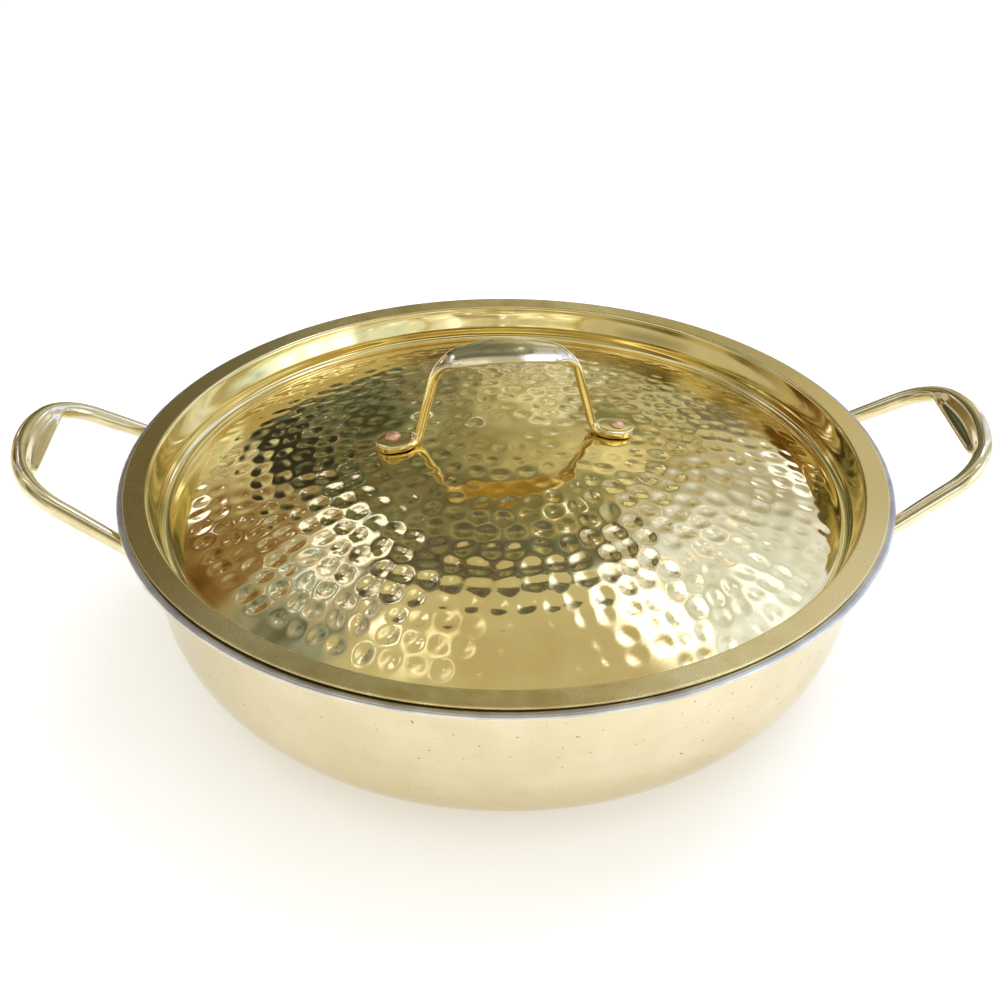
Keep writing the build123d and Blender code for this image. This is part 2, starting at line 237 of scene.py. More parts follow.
def noise(tree, place, scale, detail, **rest):
    """Smooth noise between 0 and 1. Scale is in blots per unit of the place."""
    return add_node(tree, "ShaderNodeTexNoise", Vector=place, Scale=scale, Detail=detail,
                    **rest).outputs["Fac"]


def level(tree, factor, low, high):
    """A number that runs from low to high as the factor runs from 0 to 1."""
    return add_node(tree, "ShaderNodeMapRange", i0=factor, i3=low, i4=high).outputs["Result"]


def soft_step(tree, value, start, end):
    """0 before the start, 1 past the end, and a smooth S between them."""
    return add_node(tree, "ShaderNodeMapRange", {"interpolation_type": "SMOOTHSTEP"}, i0=value,
                    i1=start, i2=end).outputs["Result"]


def ramp(tree, factor, *stops):
    """A colour ramp from (place, colour) stops. A colour is linear red, green and blue."""
    node = add_node(tree, "ShaderNodeValToRGB", i0=factor)
    elements = node.color_ramp.elements
    while len(elements) < len(stops):
        elements.new(0.5)
    for element, (position, colour) in zip(elements, stops):
        element.position = position
        element.color = (*colour[:3], 1.0)
    return node.outputs["Color"]


def blend(tree, share, first, second):
    """Two colours mixed: the first where the share is 0, and the second where it is 1."""
    return add_node(tree, "ShaderNodeMix", {"data_type": "RGBA"}, i0=share, i6=first,
                    i7=second).outputs[2]


def bump(tree, height, depth, **rest):
    """The normal of a face whose height runs from 0 to 1 over a depth in mm."""
    return add_node(tree, "ShaderNodeBump", Height=height, Distance=depth * MM, Strength=1.0,
                    **rest).outputs["Normal"]


STAIN_SIZE, GRAIN_SIZE = 1.4, 0.9
LIP_SHADE_SHARE, GRAIN_ROUGHNESS = 0.22, 0.05


def metal(name, tints, patch, roughness, scratch, dent=0.0, dent_size=3.0, painted_light_leans=(), stain_and_shade=None,
          lathe=0.0):
    """A worked metal: tint in soft patches, roughness that varies, and fine scratches.

    tints are the colours of the darkest and the cleanest patches, patch is a patch's size in mm,
    roughness is (least, most), scratch is the bump depth of fine polishing marks in mm, and dent
    is the depth of low unevenness of dent_size mm. painted_light_leans are (axis, start, end, tint)
    changes of colour across the piece that paint light and shade on one side of it. stain_and_shade
    is the colour of a few tiny stains and of painted shade on the downward faces of hammer marks.
    lathe, from 0 to 1, draws the reflections out across the turning marks round Z.
    """
    material, tree, surface = empty_material(name)
    place = tree.nodes.new("ShaderNodeTexCoord").outputs["Object"]
    patches = noise(tree, place, 1 / (patch * MM), 3.0, Roughness=0.55)
    colour = ramp(tree, patches, (0.32, linear(tints[0])), (0.62, linear(tints[1])))
    # Each lean is painted light and shade: lighter or darker towards one end of an axis.
    for axis, start, end, tint in painted_light_leans:
        split = add_node(tree, "ShaderNodeSeparateXYZ", Vector=place)
        share = soft_step(tree, split.outputs[axis], start * MM, end * MM)
        colour = blend(tree, share, colour, linear(tint))
    if stain_and_shade:
        stain = add_node(tree, "ShaderNodeMapRange", i0=noise(tree, place, 1 / (STAIN_SIZE * MM), 0.0),
                         i1=0.80, i2=0.86).outputs["Result"]
        # The point attribute read here is painted shade on the downward faces of the wall's marks, mixed
        # with the stains.
        lip_shade = add_node(tree, "ShaderNodeAttribute", {"attribute_name": "lip_shade"}).outputs["Fac"]
        share = calculate(tree, "MULTIPLY_ADD", lip_shade, LIP_SHADE_SHARE, stain, use_clamp=True)
        colour = blend(tree, share, colour, linear(stain_and_shade))
    grain = noise(tree, place, 1 / (GRAIN_SIZE * MM), 4.0, Roughness=0.7)
    rough = level(tree, patches, roughness[1], roughness[0])
    rough = calculate(tree, "MULTIPLY_ADD", grain, GRAIN_ROUGHNESS, rough)
    normal = bump(tree, grain, scratch)
    if dent:
        normal = bump(tree, noise(tree, place, 1 / (dent_size * MM), 1.0), dent, Normal=normal)
    shader = add_node(tree, "ShaderNodeBsdfPrincipled", Metallic=1.0, Roughness=rough,
                      Normal=normal, **{"Base Color": colour})
    if lathe:
        turned = add_node(tree, "ShaderNodeTangent", {"direction_type": "RADIAL", "axis": "Z"})
        tree.links.new(turned.outputs["Tangent"], shader.inputs["Tangent"])
        shader.inputs["Anisotropic"].default_value = lathe
        shader.inputs["Anisotropic Rotation"].default_value = 0.25
    tree.links.new(shader.outputs["BSDF"], surface)
    return material


# %% Finishes of the kadai's pieces
hammered_brass = metal("hammered_polished_brass", ("#E2CB88", "#EEDC9A"), 26, (0.03, 0.07), 0.003)
spun_brass = metal("spun_polished_brass", ("#E2CC8C", "#EEDD9E"), 30, (0.03, 0.08), 0.003, 0.05, 12)
# The flange is painted lighter towards the right (+X) and darker towards the left: painted light and
# shade.
flange_brass = metal("turned_flange_brass", ("#DCC482", "#F0E0A6"), 9, (0.22, 0.29), 0.002, 0.05, 25,
                     (("X", 30, 125, "#F2DC9C"), ("X", -50, -140, "#C2AC70")), lathe=0.9)
# The wall is painted darker towards the bottom and towards the left (-X): painted shade.
wall_brass = metal("raised_wall_brass", ("#DDCFA8", "#E6DAB8"), 35, (0.09, 0.16), 0.003, 0.03, 9,
                   (("Z", 40, 14, "#D2C08E"), ("X", -70, -140, "#C8BE94")), "#B09C70")
cast_brass = metal("cast_polished_brass", ("#DFD0A2", "#EDE2BC"), 12, (0.06, 0.13), 0.003, 0.02, 5)
# The strap is painted paler above 117 mm, on the grip's top: a painted reflection.
strap_brass = metal("strap_brass", ("#E4CC88", "#F0DE9E"), 12, (0.07, 0.14), 0.003, 0.012, 4,
                    (("Z", 117, 122, "#EADEB8"),))
as_cast_brass = metal("as_cast_brass", ("#E2C478", "#F2DB92"), 6, (0.42, 0.55), 0.02, 0.05, 3)
wiped_tin = metal("wiped_tin", ("#BEBCB8", "#DEDCD6"), 14, (0.24, 0.36), 0.008, 0.012, 6)
rivet_copper = metal("set_copper", ("#E8A983", "#FAD0A8"), 3, (0.28, 0.40), 0.010, 0.02, 1.5)
print("finishes:", [m.name for m in bpy.data.materials])

# %% [markdown]
# ## Dents by hand
# Both the wall and the lid carry the marks of a hammer. One function cuts any set of them.

# %% Hammer marks in general
def deepest_mark(u, v, marks, lip=1.15):
    """How deep the marks reach at the places (u, v) of a surface, all in mm.

    marks are arrays of centres, half widths, depths, stretches and angles. A hammer's face is
    part of a ball, so a mark of half width a and depth d is close to d * (1 - (distance / a)^2),
    with its lip rounded a little by a power. Where two overlap, the deeper one wins.
    """
    depth = np.zeros_like(u)
    for cu, cv, half, deep, stretch, lie in zip(*marks):
        reach = half * 1.25  # as far as a stretched mark gets
        near = np.nonzero((np.abs(u - cu) < reach) & (np.abs(v - cv) < reach))
        du, dv = u[near] - cu, v[near] - cv
        along = (du * np.cos(lie) + dv * np.sin(lie)) * stretch
        across = (dv * np.cos(lie) - du * np.sin(lie)) / stretch
        share = np.clip(1 - (along**2 + across**2) / half**2, 0, None)
        depth[near] = np.maximum(depth[near], deep * share**lip)
    return depth


# %% [markdown]
# ## The pan
# The pan is one disc of brass, raised or spun to a flat base, a wide round corner and a wall
# that leans out a little, then turned out flat for the rim. It could be a Spin modifier on a
# drawn outline. Here the outline is a line with rounded corners, offset inwards for the inner
# face, so the sheet keeps its thickness everywhere. A tin coat covers the inside, the top of the
# rim and its edge: that is the grey band round the lid.

# %% Pan and tin
RIM_RADIUS, PAN_HEIGHT, RIM_OVERHANG = 150.0, 78.0, 8.0
WALL_LEAN, BASE_CORNER, RIM_BEND = np.radians(5.5), 44.0, 2.0
PAN_SHEET, TIN, TIN_DROP = 2.2, 0.3, 1.0
SKIN = PAN_SHEET + TIN
RIM_UNDERSIDE = PAN_HEIGHT - SKIN
MARK_ROW_HEIGHT, MARK_ROW_SPACING = 9.5, 11.0
WALL_TOP = RIM_RADIUS - RIM_OVERHANG


def wall_radius(z, depth=0.0):
    """Radius at height z of the face that lies depth mm inside the wall's outer face."""
    return WALL_TOP - (RIM_UNDERSIDE - z) * np.tan(WALL_LEAN) - depth / np.cos(WALL_LEAN)


def skin_line(depth, edge_radius):
    """The pan's outline depth mm inside its outer face, from the axis to the rim's edge."""
    top = RIM_UNDERSIDE + depth
    corners = [(0, depth), (wall_radius(depth, depth), depth), (wall_radius(top, depth), top),
               (edge_radius, top)]
    return rounded_path(corners, [BASE_CORNER - depth, RIM_BEND + depth], np.radians(4))


def wall_marks(length, turn_length, seed=5):
    """Faint marks of the smoothing hammer, in staggered rows up the wall."""
    rng = np.random.default_rng(seed)
    rows, columns = int(length / MARK_ROW_HEIGHT), int(turn_length / MARK_ROW_SPACING)
    row, column = np.meshgrid(np.arange(rows), np.arange(-1, columns + 1), indexing="ij")
    count = row.size
    u = (column + 0.5 * (row % 2)).ravel() * turn_length / columns + rng.normal(0, 1.4, count)
    v = (row.ravel() + 0.5) * length / rows + rng.normal(0, 1.1, count)
    return (u, v, rng.uniform(4.0, 5.6, count), rng.uniform(0.015, 0.06, count),
            rng.uniform(0.85, 1.2, count), rng.uniform(0, np.pi, count))


PAN_SEGMENTS, TIN_SEGMENTS = 336, 288
brass_edge = RIM_RADIUS - TIN
outside, inside = skin_line(0, brass_edge), skin_line(PAN_SHEET, brass_edge)
# Only the wall, which carries the marks, is divided finely.
base = with_guards(outside[:2], 8.0)
wall = with_guards(outside[1:-1], 1.9)[1:]
rim_edge = rounded_path([outside[-2], outside[-1], inside[-1], inside[-2]], [0.5, 0.5])
pan_section = np.concatenate([base, wall, with_guards(rim_edge[:-1], 4.0)[1:],
                              with_guards(inside[-2::-1], 8.0)])
pan_rings = revolved(pan_section, PAN_SEGMENTS)
wall_rows = slice(len(base), len(base) + len(wall) - 3)
steps = np.linalg.norm(np.diff(pan_section[wall_rows], axis=0), axis=1)
climb = np.concatenate([[0], np.cumsum(steps)])
turn_angle = np.arange(PAN_SEGMENTS) * 2 * np.pi / PAN_SEGMENTS
around, up_wall = np.meshgrid(turn_angle * WALL_TOP, climb)
marks = wall_marks(climb[-1], 2 * np.pi * WALL_TOP)
sunk = deepest_mark(around, up_wall, marks) * smoothstep(0, 12, up_wall)
sunk = sunk * (1 - smoothstep(climb[-1] - 6, climb[-1], up_wall))
slope = unit(np.gradient(pan_section[wall_rows], axis=0))
outward = np.stack([slope[:, 1, None] * np.cos(turn_angle), slope[:, 1, None] * np.sin(turn_angle),
                    np.broadcast_to(-slope[:, 0, None], sunk.shape)], axis=-1)
pan_rings[wall_rows] -= outward * sunk[..., None]
# The half of each mark whose face turns downwards is darkened in colour: painted shade, which draws the
# mark as a crescent.
DARK_SLOPE, BRIGHT_SHARE = 0.02, 0.3
fall = -np.gradient(sunk, axis=0) / np.gradient(climb)[:, None]
painted_lip_shade = np.zeros(pan_rings.shape[:2])
painted_lip_shade[wall_rows] = np.clip(fall / DARK_SLOPE - BRIGHT_SHARE, 0, 1)
pan_index = np.arange(pan_rings.shape[0] * PAN_SEGMENTS).reshape(-1, PAN_SEGMENTS)
pan_bowl = make_piece("pan_bowl", pan_rings.reshape(-1, 3), grid_faces(pan_index), "pan", "pan_brass",
                      [wall_brass], ["pan_body"], lip_shade=painted_lip_shade)

under, over = skin_line(PAN_SHEET, brass_edge), skin_line(SKIN, RIM_RADIUS)
tin_bottom = RIM_UNDERSIDE + PAN_SHEET - TIN_DROP
tin_edge = rounded_path([over[-2], over[-1], (RIM_RADIUS, tin_bottom), (brass_edge, tin_bottom)],
                        [0.9, 0.1])
tin_section = np.concatenate([under, [(brass_edge, tin_bottom)], tin_edge[::-1][1:-1],
                              over[-2::-1]])
tin_coat = revolved_piece("tin_coat", with_guards(tin_section, 6.0), TIN_SEGMENTS, body="pan",
                          slot="tin", materials=[wiped_tin], nodes=["pan_lining"])

# %% [markdown]
# ## The lid
# The lid is one thin sheet. Its flat flange lies on the rim, a smooth trough drops inside the
# mouth, and a low dome rises in the middle. The dome was hammered from outside, blow after blow
# along a spiral, so each mark is a shallow round dent, as wide as its neighbours are apart.
# Displacement from a texture would soften their edges. Here each dent is cut into the surface
# itself: the deepest dent at a point wins, which leaves a crisp ridge where two marks meet.

# %% The lid's outline
LID_SHEET = 1.0
FLANGE_TOP = PAN_HEIGHT + 0.3 + LID_SHEET
LID_EDGE = RIM_RADIUS - 2.5
CREST = LID_EDGE - 9.1
TROUGH_DEPTH, TROUGH_LEAN, TROUGH_ROUND, CREST_ROUND = 16.2, np.radians(11.7), 3.5, 1.5
TROUGH_FOOT = np.array([CREST - TROUGH_DEPTH * np.tan(TROUGH_LEAN), FLANGE_TOP - TROUGH_DEPTH])
DOME_HEIGHT = 26.7
DOME_RADIUS = (TROUGH_FOOT[0] ** 2 + DOME_HEIGHT**2) / (2 * DOME_HEIGHT)
DOME_APEX = TROUGH_FOOT[1] + DOME_HEIGHT
DOME_CENTRE = DOME_APEX - DOME_RADIUS
HAMMERED_RADIUS = 129.5
KNEE_HEIGHT, KNEE_BOW, KNEE_END = 6.5, 1.3, 0.8
FLANGE_LIFT, LIFT_ANGLE, LIFT_SPREAD = 0.75, np.radians(-138), np.radians(38)

wall_up = np.array([np.sin(TROUGH_LEAN), np.cos(TROUGH_LEAN)])
wall_in = np.array([-np.cos(TROUGH_LEAN), np.sin(TROUGH_LEAN)])
# The trough's round is centred where it lies its radius above the dome and inside the wall.
start = TROUGH_FOOT + wall_in * TROUGH_ROUND - np.array([0, DOME_CENTRE])
reach = start @ wall_up
climb = -reach + np.sqrt(reach**2 - start @ start + (DOME_RADIUS + TROUGH_ROUND) ** 2)
trough_middle = TROUGH_FOOT + wall_in * TROUGH_ROUND + wall_up * climb
crest_z = FLANGE_TOP - CREST_ROUND
crest_middle = np.array([CREST + (crest_z - FLANGE_TOP) * np.tan(TROUGH_LEAN)
                         + CREST_ROUND / np.cos(TROUGH_LEAN), crest_z])


def arc(middle, radius, first, last, steps):
    """Points on a circle between two angles."""
    angle = np.linspace(first, last, steps)
    return middle + radius * np.stack([np.cos(angle), np.sin(angle)], axis=-1)


def lid_line(depth, steps):
    """The lid's face depth mm below the upper one, from the hammered dome to the flange."""
    to_dome = np.array([0, DOME_CENTRE]) - trough_middle
    dome_way = np.arctan2(to_dome[1], to_dome[0])
    wall_way = np.arctan2(-wall_in[1], -wall_in[0])
    trough = arc(trough_middle, TROUGH_ROUND + depth, dome_way, wall_way, steps)
    crest = arc(crest_middle, CREST_ROUND - depth, np.arctan2(wall_in[1], wall_in[0]), np.pi / 2,
                steps - 2)
    return np.concatenate([trough, crest])


def knee(line):
    """Draw the trough's wall in, most at the knee: its foot goes down steeply, its top opens.

    Below the knee the shift grows with the height, and above it falls back to nothing.
    """
    height, top = line[:, 1] - TROUGH_FOOT[1], TROUGH_DEPTH - KNEE_END
    share = np.minimum(height / KNEE_HEIGHT, (top - height) / (top - KNEE_HEIGHT))
    share = smoothstep(0, 1.25, share) * np.clip(share, 0, 1) ** 0.2
    share = share * smoothstep(TROUGH_FOOT[0] - 3.5, TROUGH_FOOT[0] - 0.5, line[:, 0])
    return line - np.stack([KNEE_BOW * share, 0 * share], axis=-1)


edge_round = [(CREST + 3, FLANGE_TOP), (LID_EDGE, FLANGE_TOP), (LID_EDGE, FLANGE_TOP - LID_SHEET),
              (CREST + 3, FLANGE_TOP - LID_SHEET)]
edge = rounded_path(edge_round, [0.4, 0.3], np.radians(30))[1:-1]
upper = knee(with_guards(np.concatenate([lid_line(0, 8), edge[:1]]), 0.8))
lower = knee(with_guards(np.concatenate([edge[-1:], lid_line(LID_SHEET, 6)[::-1]]), 3.0))
under_dome = np.array([118.0, 95.0, 70.0, 45.0, 20.0])
under_z = DOME_CENTRE + np.sqrt((DOME_RADIUS - LID_SHEET) ** 2 - under_dome**2)
lid_profile = np.concatenate([upper, edge[1:-1], lower, np.stack([under_dome, under_z], axis=-1)])
print("lid outline points:", len(lid_profile), "dome radius:", round(DOME_RADIUS, 1), "mm")

# %% [markdown]
# The hammer's path is a spiral. Its radius and angle are written for all marks at once, and a
# seeded generator then moves, sizes and turns each mark a little, as a hand does. The marks are
# widest and deepest halfway out.

# %% Hammer marks
SPIRAL_START, SPIRAL_PITCH, MARK_SPACING = 126.0, 8.2, 9.3
SPIRAL_ANGLE = np.radians(25)


def hammer_marks(seed=11):
    """Places, sizes and depths of the hammer marks along an Archimedean spiral.

    The spiral's area per mark is pitch times spacing, so the square of the radius falls by that
    over pi from one mark to the next, and the angle grows by one turn per pitch.
    """
    rng = np.random.default_rng(seed)
    count = int(np.pi * (SPIRAL_START**2 - 8.0**2) / (SPIRAL_PITCH * MARK_SPACING))
    n = np.arange(count)
    radius = np.sqrt(SPIRAL_START**2 - SPIRAL_PITCH * MARK_SPACING * n / np.pi)
    angle = SPIRAL_ANGLE + 2 * np.pi * (SPIRAL_START - radius) / SPIRAL_PITCH
    radius = radius + rng.normal(0, 0.55, count)
    angle = angle + rng.normal(0, 0.75, count) / np.maximum(radius, 12)
    middle = smoothstep(30, 76, radius)
    outer = smoothstep(92, 106, radius)
    half_width = (2.9 + 1.3 * middle - 0.5 * outer) * rng.uniform(0.86, 1.14, count)
    depth = (0.17 + 0.17 * middle - 0.11 * outer) * rng.uniform(0.65, 1.35, count)
    stretch = rng.uniform(0.86, 1.16, count)
    lie = rng.uniform(0, np.pi, count)
    return radius * np.sin(angle), -radius * np.cos(angle), half_width, depth, stretch, lie


def hammered_depth(x, y):
    """How far the hammered face lies under the plain dome, in mm, at each place.

    Over the marks lies a slow swell of a few hundredths, since the land between them is uneven.
    """
    swell = (np.sin(x / 6.1 + 1.3 * np.sin(y / 9.7)) * np.sin(y / 7.3 + 1.1 * np.sin(x / 8.9 + 1))
             + np.sin(x / 13.7 - y / 11.3 + 2) * 0.8)
    radius = np.hypot(x, y)
    depth = deepest_mark(x, y, hammer_marks()) + 0.03 * (1 + 0.6 * swell)
    return depth * (1 - smoothstep(HAMMERED_RADIUS - 2.5, HAMMERED_RADIUS, radius))


print("hammer marks:", len(hammer_marks()[0]))

# %% [markdown]
# A disc made of rings has tiny faces in its middle and wide ones at its edge. A square grid that
# is bent into a disc keeps its cells alike, so each mark gets the same number of points. The
# trough, the flange and the underside are rings that start from the disc's edge.

# %% The lid's mesh
DOME_CELLS = 180


def disc_grid(cells):
    """A square grid bent into a disc of radius 1, so that its cells stay about the same size.

    The larger of the two square coordinates becomes the radius, and their ratio the angle.
    """
    a, b = np.meshgrid(np.linspace(-1, 1, cells + 1), np.linspace(-1, 1, cells + 1), indexing="ij")
    wide = np.abs(a) >= np.abs(b)
    radius = np.where(wide, a, b)
    other = np.where(wide, b, a)
    share = np.divide(other, radius, out=np.zeros_like(a), where=radius != 0)
    angle = np.where(wide, np.pi / 4 * share, np.pi / 2 - np.pi / 4 * share)
    return radius * np.cos(angle), radius * np.sin(angle)


def rim_of(index):
    """The outermost vertex numbers of a square grid, once round and counter-clockwise."""
    return np.concatenate([index[:-1, 0], index[-1, :-1], index[:0:-1, -1], index[0, :0:-1]])


disc_x, disc_y = disc_grid(DOME_CELLS)
x, y = disc_x * HAMMERED_RADIUS, disc_y * HAMMERED_RADIUS
z = DOME_CENTRE + np.sqrt(DOME_RADIUS**2 - x**2 - y**2)
plain = np.stack([x, y, z], axis=-1)
outwards = unit(plain - np.array([0, 0, DOME_CENTRE]))
dome = plain - outwards * hammered_depth(x, y)[..., None]
dome_index = np.arange((DOME_CELLS + 1) ** 2).reshape(DOME_CELLS + 1, -1)
rim_index = rim_of(dome_index)
rim_angle = np.arctan2(y.ravel()[rim_index], x.ravel()[rim_index])
# The flange isn't quite flat: at the front left it stands a little off the rim.
away = (rim_angle - LIFT_ANGLE + np.pi) % (2 * np.pi) - np.pi
lift = FLANGE_LIFT * np.exp(-(away / LIFT_SPREAD) ** 2)
lift = lift * smoothstep(CREST, LID_EDGE + 3, lid_profile[:, 0, None])
rings = np.stack(np.broadcast_arrays(lid_profile[:, 0, None] * np.cos(rim_angle),
                                     lid_profile[:, 0, None] * np.sin(rim_angle),
                                     lid_profile[:, 1, None] + lift), axis=-1)
ring_index = dome_index.size + np.arange(rings.shape[0] * len(rim_index)).reshape(len(rings), -1)
pole = dome_index.size + ring_index.size
last = ring_index[-1]
fan = np.stack([last, np.roll(last, -1), np.full_like(last, pole)], axis=-1)
lid_points = np.concatenate([dome.reshape(-1, 3), rings.reshape(-1, 3),
                             [(0, 0, DOME_APEX - LID_SHEET)]])
dome_faces = grid_faces(dome_index, close_columns=False)
ring_faces = grid_faces(np.concatenate([rim_index[None], ring_index]))
flange_first = int(np.argmax(lid_profile[:, 0] > CREST + 0.9))
flange_last = len(upper) + len(edge) - 2
ring_row = np.repeat(np.arange(len(ring_index)), len(rim_index))
ring_finish = np.where((ring_row >= flange_first) & (ring_row < flange_last), 2, 1)
finish = np.concatenate([np.zeros(len(dome_faces)), ring_finish, np.ones(len(fan))])
lid_sheet = make_piece("lid_sheet", lid_points, np.concatenate([dome_faces, ring_faces]), "lid",
                       "lid_brass", [hammered_brass, spun_brass, flange_brass], ["lid"], fan, finish)
print("hammered dome ends at", HAMMERED_RADIUS, "and the trough's round starts at",
      round(float(lid_profile[0, 0]), 2))

# %% [markdown]
# ## The lid's handle
# The handle is a cast strap. Its two round feet lie on the dome, slim legs lean in, and the grip
# swells to a leaf with a domed back. It is a section carried along a bent line in one upright
# plane. The section's width comes from the strap's outline seen from above, and its upper face
# is crowned a little on the feet and more on the grip.

# %% Lid handle
LID_TURN = np.radians(4.9)
lid_along = np.array([np.cos(LID_TURN), np.sin(LID_TURN), 0.0])
lid_back = np.array([-np.sin(LID_TURN), np.cos(LID_TURN), 0.0])
UP = np.array([0.0, 0.0, 1.0])
STRAP, RIVET_GAP, RIVET_SPACING = 3.5, 0.06, 87.0
FOOT_REACH, FOOT_HEEL, FOOT_WIDTH = 7.0, 9.3, 12.4
GRIP_SPAN, SHOULDER_HEIGHT, CROWN_HEIGHT = 52.0, 32.7, 37.0
FORWARD_LEAN = np.radians(6)
FOOT_CROWN, GRIP_CROWN, RIDGE_SHIFT = 0.3, 1.3, 0.35
rivet_lean = np.arcsin(RIVET_SPACING / 2 / DOME_RADIUS)
foot_middle = STRAP / 2 + RIVET_GAP


def over_dome(side, above, along=0.0):
    """Point (along the handle, height) above a lid rivet's place, shifted along the foot."""
    r = DOME_RADIUS + above
    place = np.array([side * r * np.sin(rivet_lean), DOME_CENTRE + r * np.cos(rivet_lean)])
    return place + along * np.array([side * np.cos(rivet_lean), -np.sin(rivet_lean)])


strap_corners = [over_dome(-1, foot_middle, FOOT_REACH), over_dome(-1, foot_middle, -FOOT_HEEL),
                 (-GRIP_SPAN / 2, DOME_APEX + SHOULDER_HEIGHT), (0, DOME_APEX + CROWN_HEIGHT),
                 (GRIP_SPAN / 2, DOME_APEX + SHOULDER_HEIGHT),
                 over_dome(1, foot_middle, -FOOT_HEEL), over_dome(1, foot_middle, FOOT_REACH)]
strap_line = rounded_path(strap_corners, [4.5, 12.0, 70.0, 12.0, 4.5], np.radians(1.5))


def by_length(line, places):
    """Points of a line at shares of its length."""
    steps = np.linalg.norm(np.diff(line, axis=0), axis=1)
    length = np.concatenate([[0], np.cumsum(steps)])
    return np.stack([np.interp(places * length[-1], length, line[:, k])
                     for k in range(line.shape[1])], axis=-1), length[-1]


# Stations crowd towards both ends, where the feet are round.
strap_length = by_length(strap_line, np.array([0.0]))[1]
foot_share = 0.5 * FOOT_WIDTH / strap_length
ends = (1 - np.cos(np.pi / 2 * np.linspace(0, 1, 25))) * foot_share
share = np.concatenate([ends, np.linspace(foot_share, 1 - foot_share, 361)[1:-1], 1 - ends[::-1]])
strap_middle, _ = by_length(strap_line, share)
strap_way = unit(np.gradient(strap_middle, axis=0))

OUTLINE_PLACES = np.array([0, 5, 10, 13, 17.5, 21, 24.5, 27, 30, 33, 35, 37, 39, 41.2])
OUTLINE_HALVES = np.array([7.95, 7.85, 7.3, 6.8, 6.2, 5.3, 3.3, 2.25, 1.95, 2.1, 2.9, 4.5, 5.7, 6.15])


def smooth_through(places, values, x):
    """A smooth curve through points: each span is a cubic whose end slopes are the mean slopes."""
    slopes = np.gradient(values, places)
    slopes[0] = 0
    k = np.clip(np.searchsorted(places, x) - 1, 0, len(places) - 2)
    width = places[k + 1] - places[k]
    t = np.clip((x - places[k]) / width, 0, 1)
    return ((2 * t**3 - 3 * t**2 + 1) * values[k] + (t**3 - 2 * t**2 + t) * width * slopes[k]
            + (3 * t**2 - 2 * t**3) * values[k + 1] + (t**3 - t**2) * width * slopes[k + 1])


def strap_half_width(across):
    """Half of the strap's width, by distance from its middle seen from above."""
    half = smooth_through(OUTLINE_PLACES, OUTLINE_HALVES, across)
    foot_middle_x = RIVET_SPACING / 2 + FOOT_REACH - FOOT_WIDTH / 2
    past = (across - foot_middle_x) / (FOOT_WIDTH / 2)
    end = FOOT_WIDTH / 2 * np.sqrt(np.clip(1 - past**2, 0, 1))
    full = np.where(across > OUTLINE_PLACES[-1], FOOT_WIDTH / 2, half)
    return np.where(across > foot_middle_x, end, full)


def rounded_box(count, corner):
    """Points once round a box of half sizes 1, crowded into its corners, as (side, height).

    A point at angle w sits at the signed power of cosine and sine, which squares a circle.
    """
    w = np.arange(count) * 2 * np.pi / count
    c, s = np.cos(w), np.sin(w)
    return np.sign(c) * np.abs(c) ** corner, np.sign(s) * np.abs(s) ** corner


across = np.abs(strap_middle[:, 0])
half_width = np.maximum(strap_half_width(across), 0.02)
grip_share = 1 - smoothstep(17, 27, across)
crown = (FOOT_CROWN + GRIP_CROWN * grip_share)[:, None]
lean_back = RIDGE_SHIFT * grip_share[:, None]
leg_share = smoothstep(21, 27, across) * (1 - smoothstep(35, 38, across))
side, height = rounded_box(64, (0.34 + 0.26 * leg_share)[:, None])
# The crown's ridge lies towards the back, so more of the grip's face looks forwards.
top = STRAP / 2 - crown * ((side - lean_back) / (1 + lean_back)) ** 2
belly = STRAP / 2 * (1 - 0.5 * grip_share[:, None] * side**2)
section_height = np.where(height > 0, height * top, height * belly)
# The grip leans forwards by a few degrees, so its back catches the ceiling.
twist = FORWARD_LEAN * grip_share[:, None]
section_side = half_width[:, None] * side * np.cos(twist) - section_height * np.sin(twist)
section_height = section_height * np.cos(twist) + half_width[:, None] * side * np.sin(twist)
outwards = np.stack([-strap_way[:, 1], strap_way[:, 0]], axis=-1)
in_plane = strap_middle[:, None] + outwards[:, None] * section_height[..., None]
strap_points = (in_plane[..., 0, None] * lid_along + in_plane[..., 1, None] * UP
                + section_side[..., None] * lid_back)
strap_index = np.arange(strap_points.shape[0] * strap_points.shape[1]).reshape(len(strap_points), -1)
strap_faces = grid_faces(strap_index)
# Only what the polishing wheel reaches is bright: the grip's underside stays as it was cast.
beneath = (height < -0.2) & (grip_share[:, None] > 0.5)
as_cast = beneath.ravel()[strap_faces].all(axis=1)
lid_strap = make_piece("lid_strap", strap_points.reshape(-1, 3), strap_faces, "lid", "handle_brass",
                       [strap_brass, as_cast_brass], ["lid_handle"], face_material=as_cast)

# %% [markdown]
# ## Rivets
# Copper rivets hold the handles. A set rivet has a domed head outside and a smaller one inside.
# Each is a profile turned about its own axis. The heads are a little uneven, because they were
# closed with a hammer.

# %% Rivets
RIVET_SEGMENTS = 40
# A rivet's shank radius, head radius and head height.
LID_RIVET, SIDE_RIVET = (1.6, 3.1, 1.5), (2.4, 4.0, 2.0)


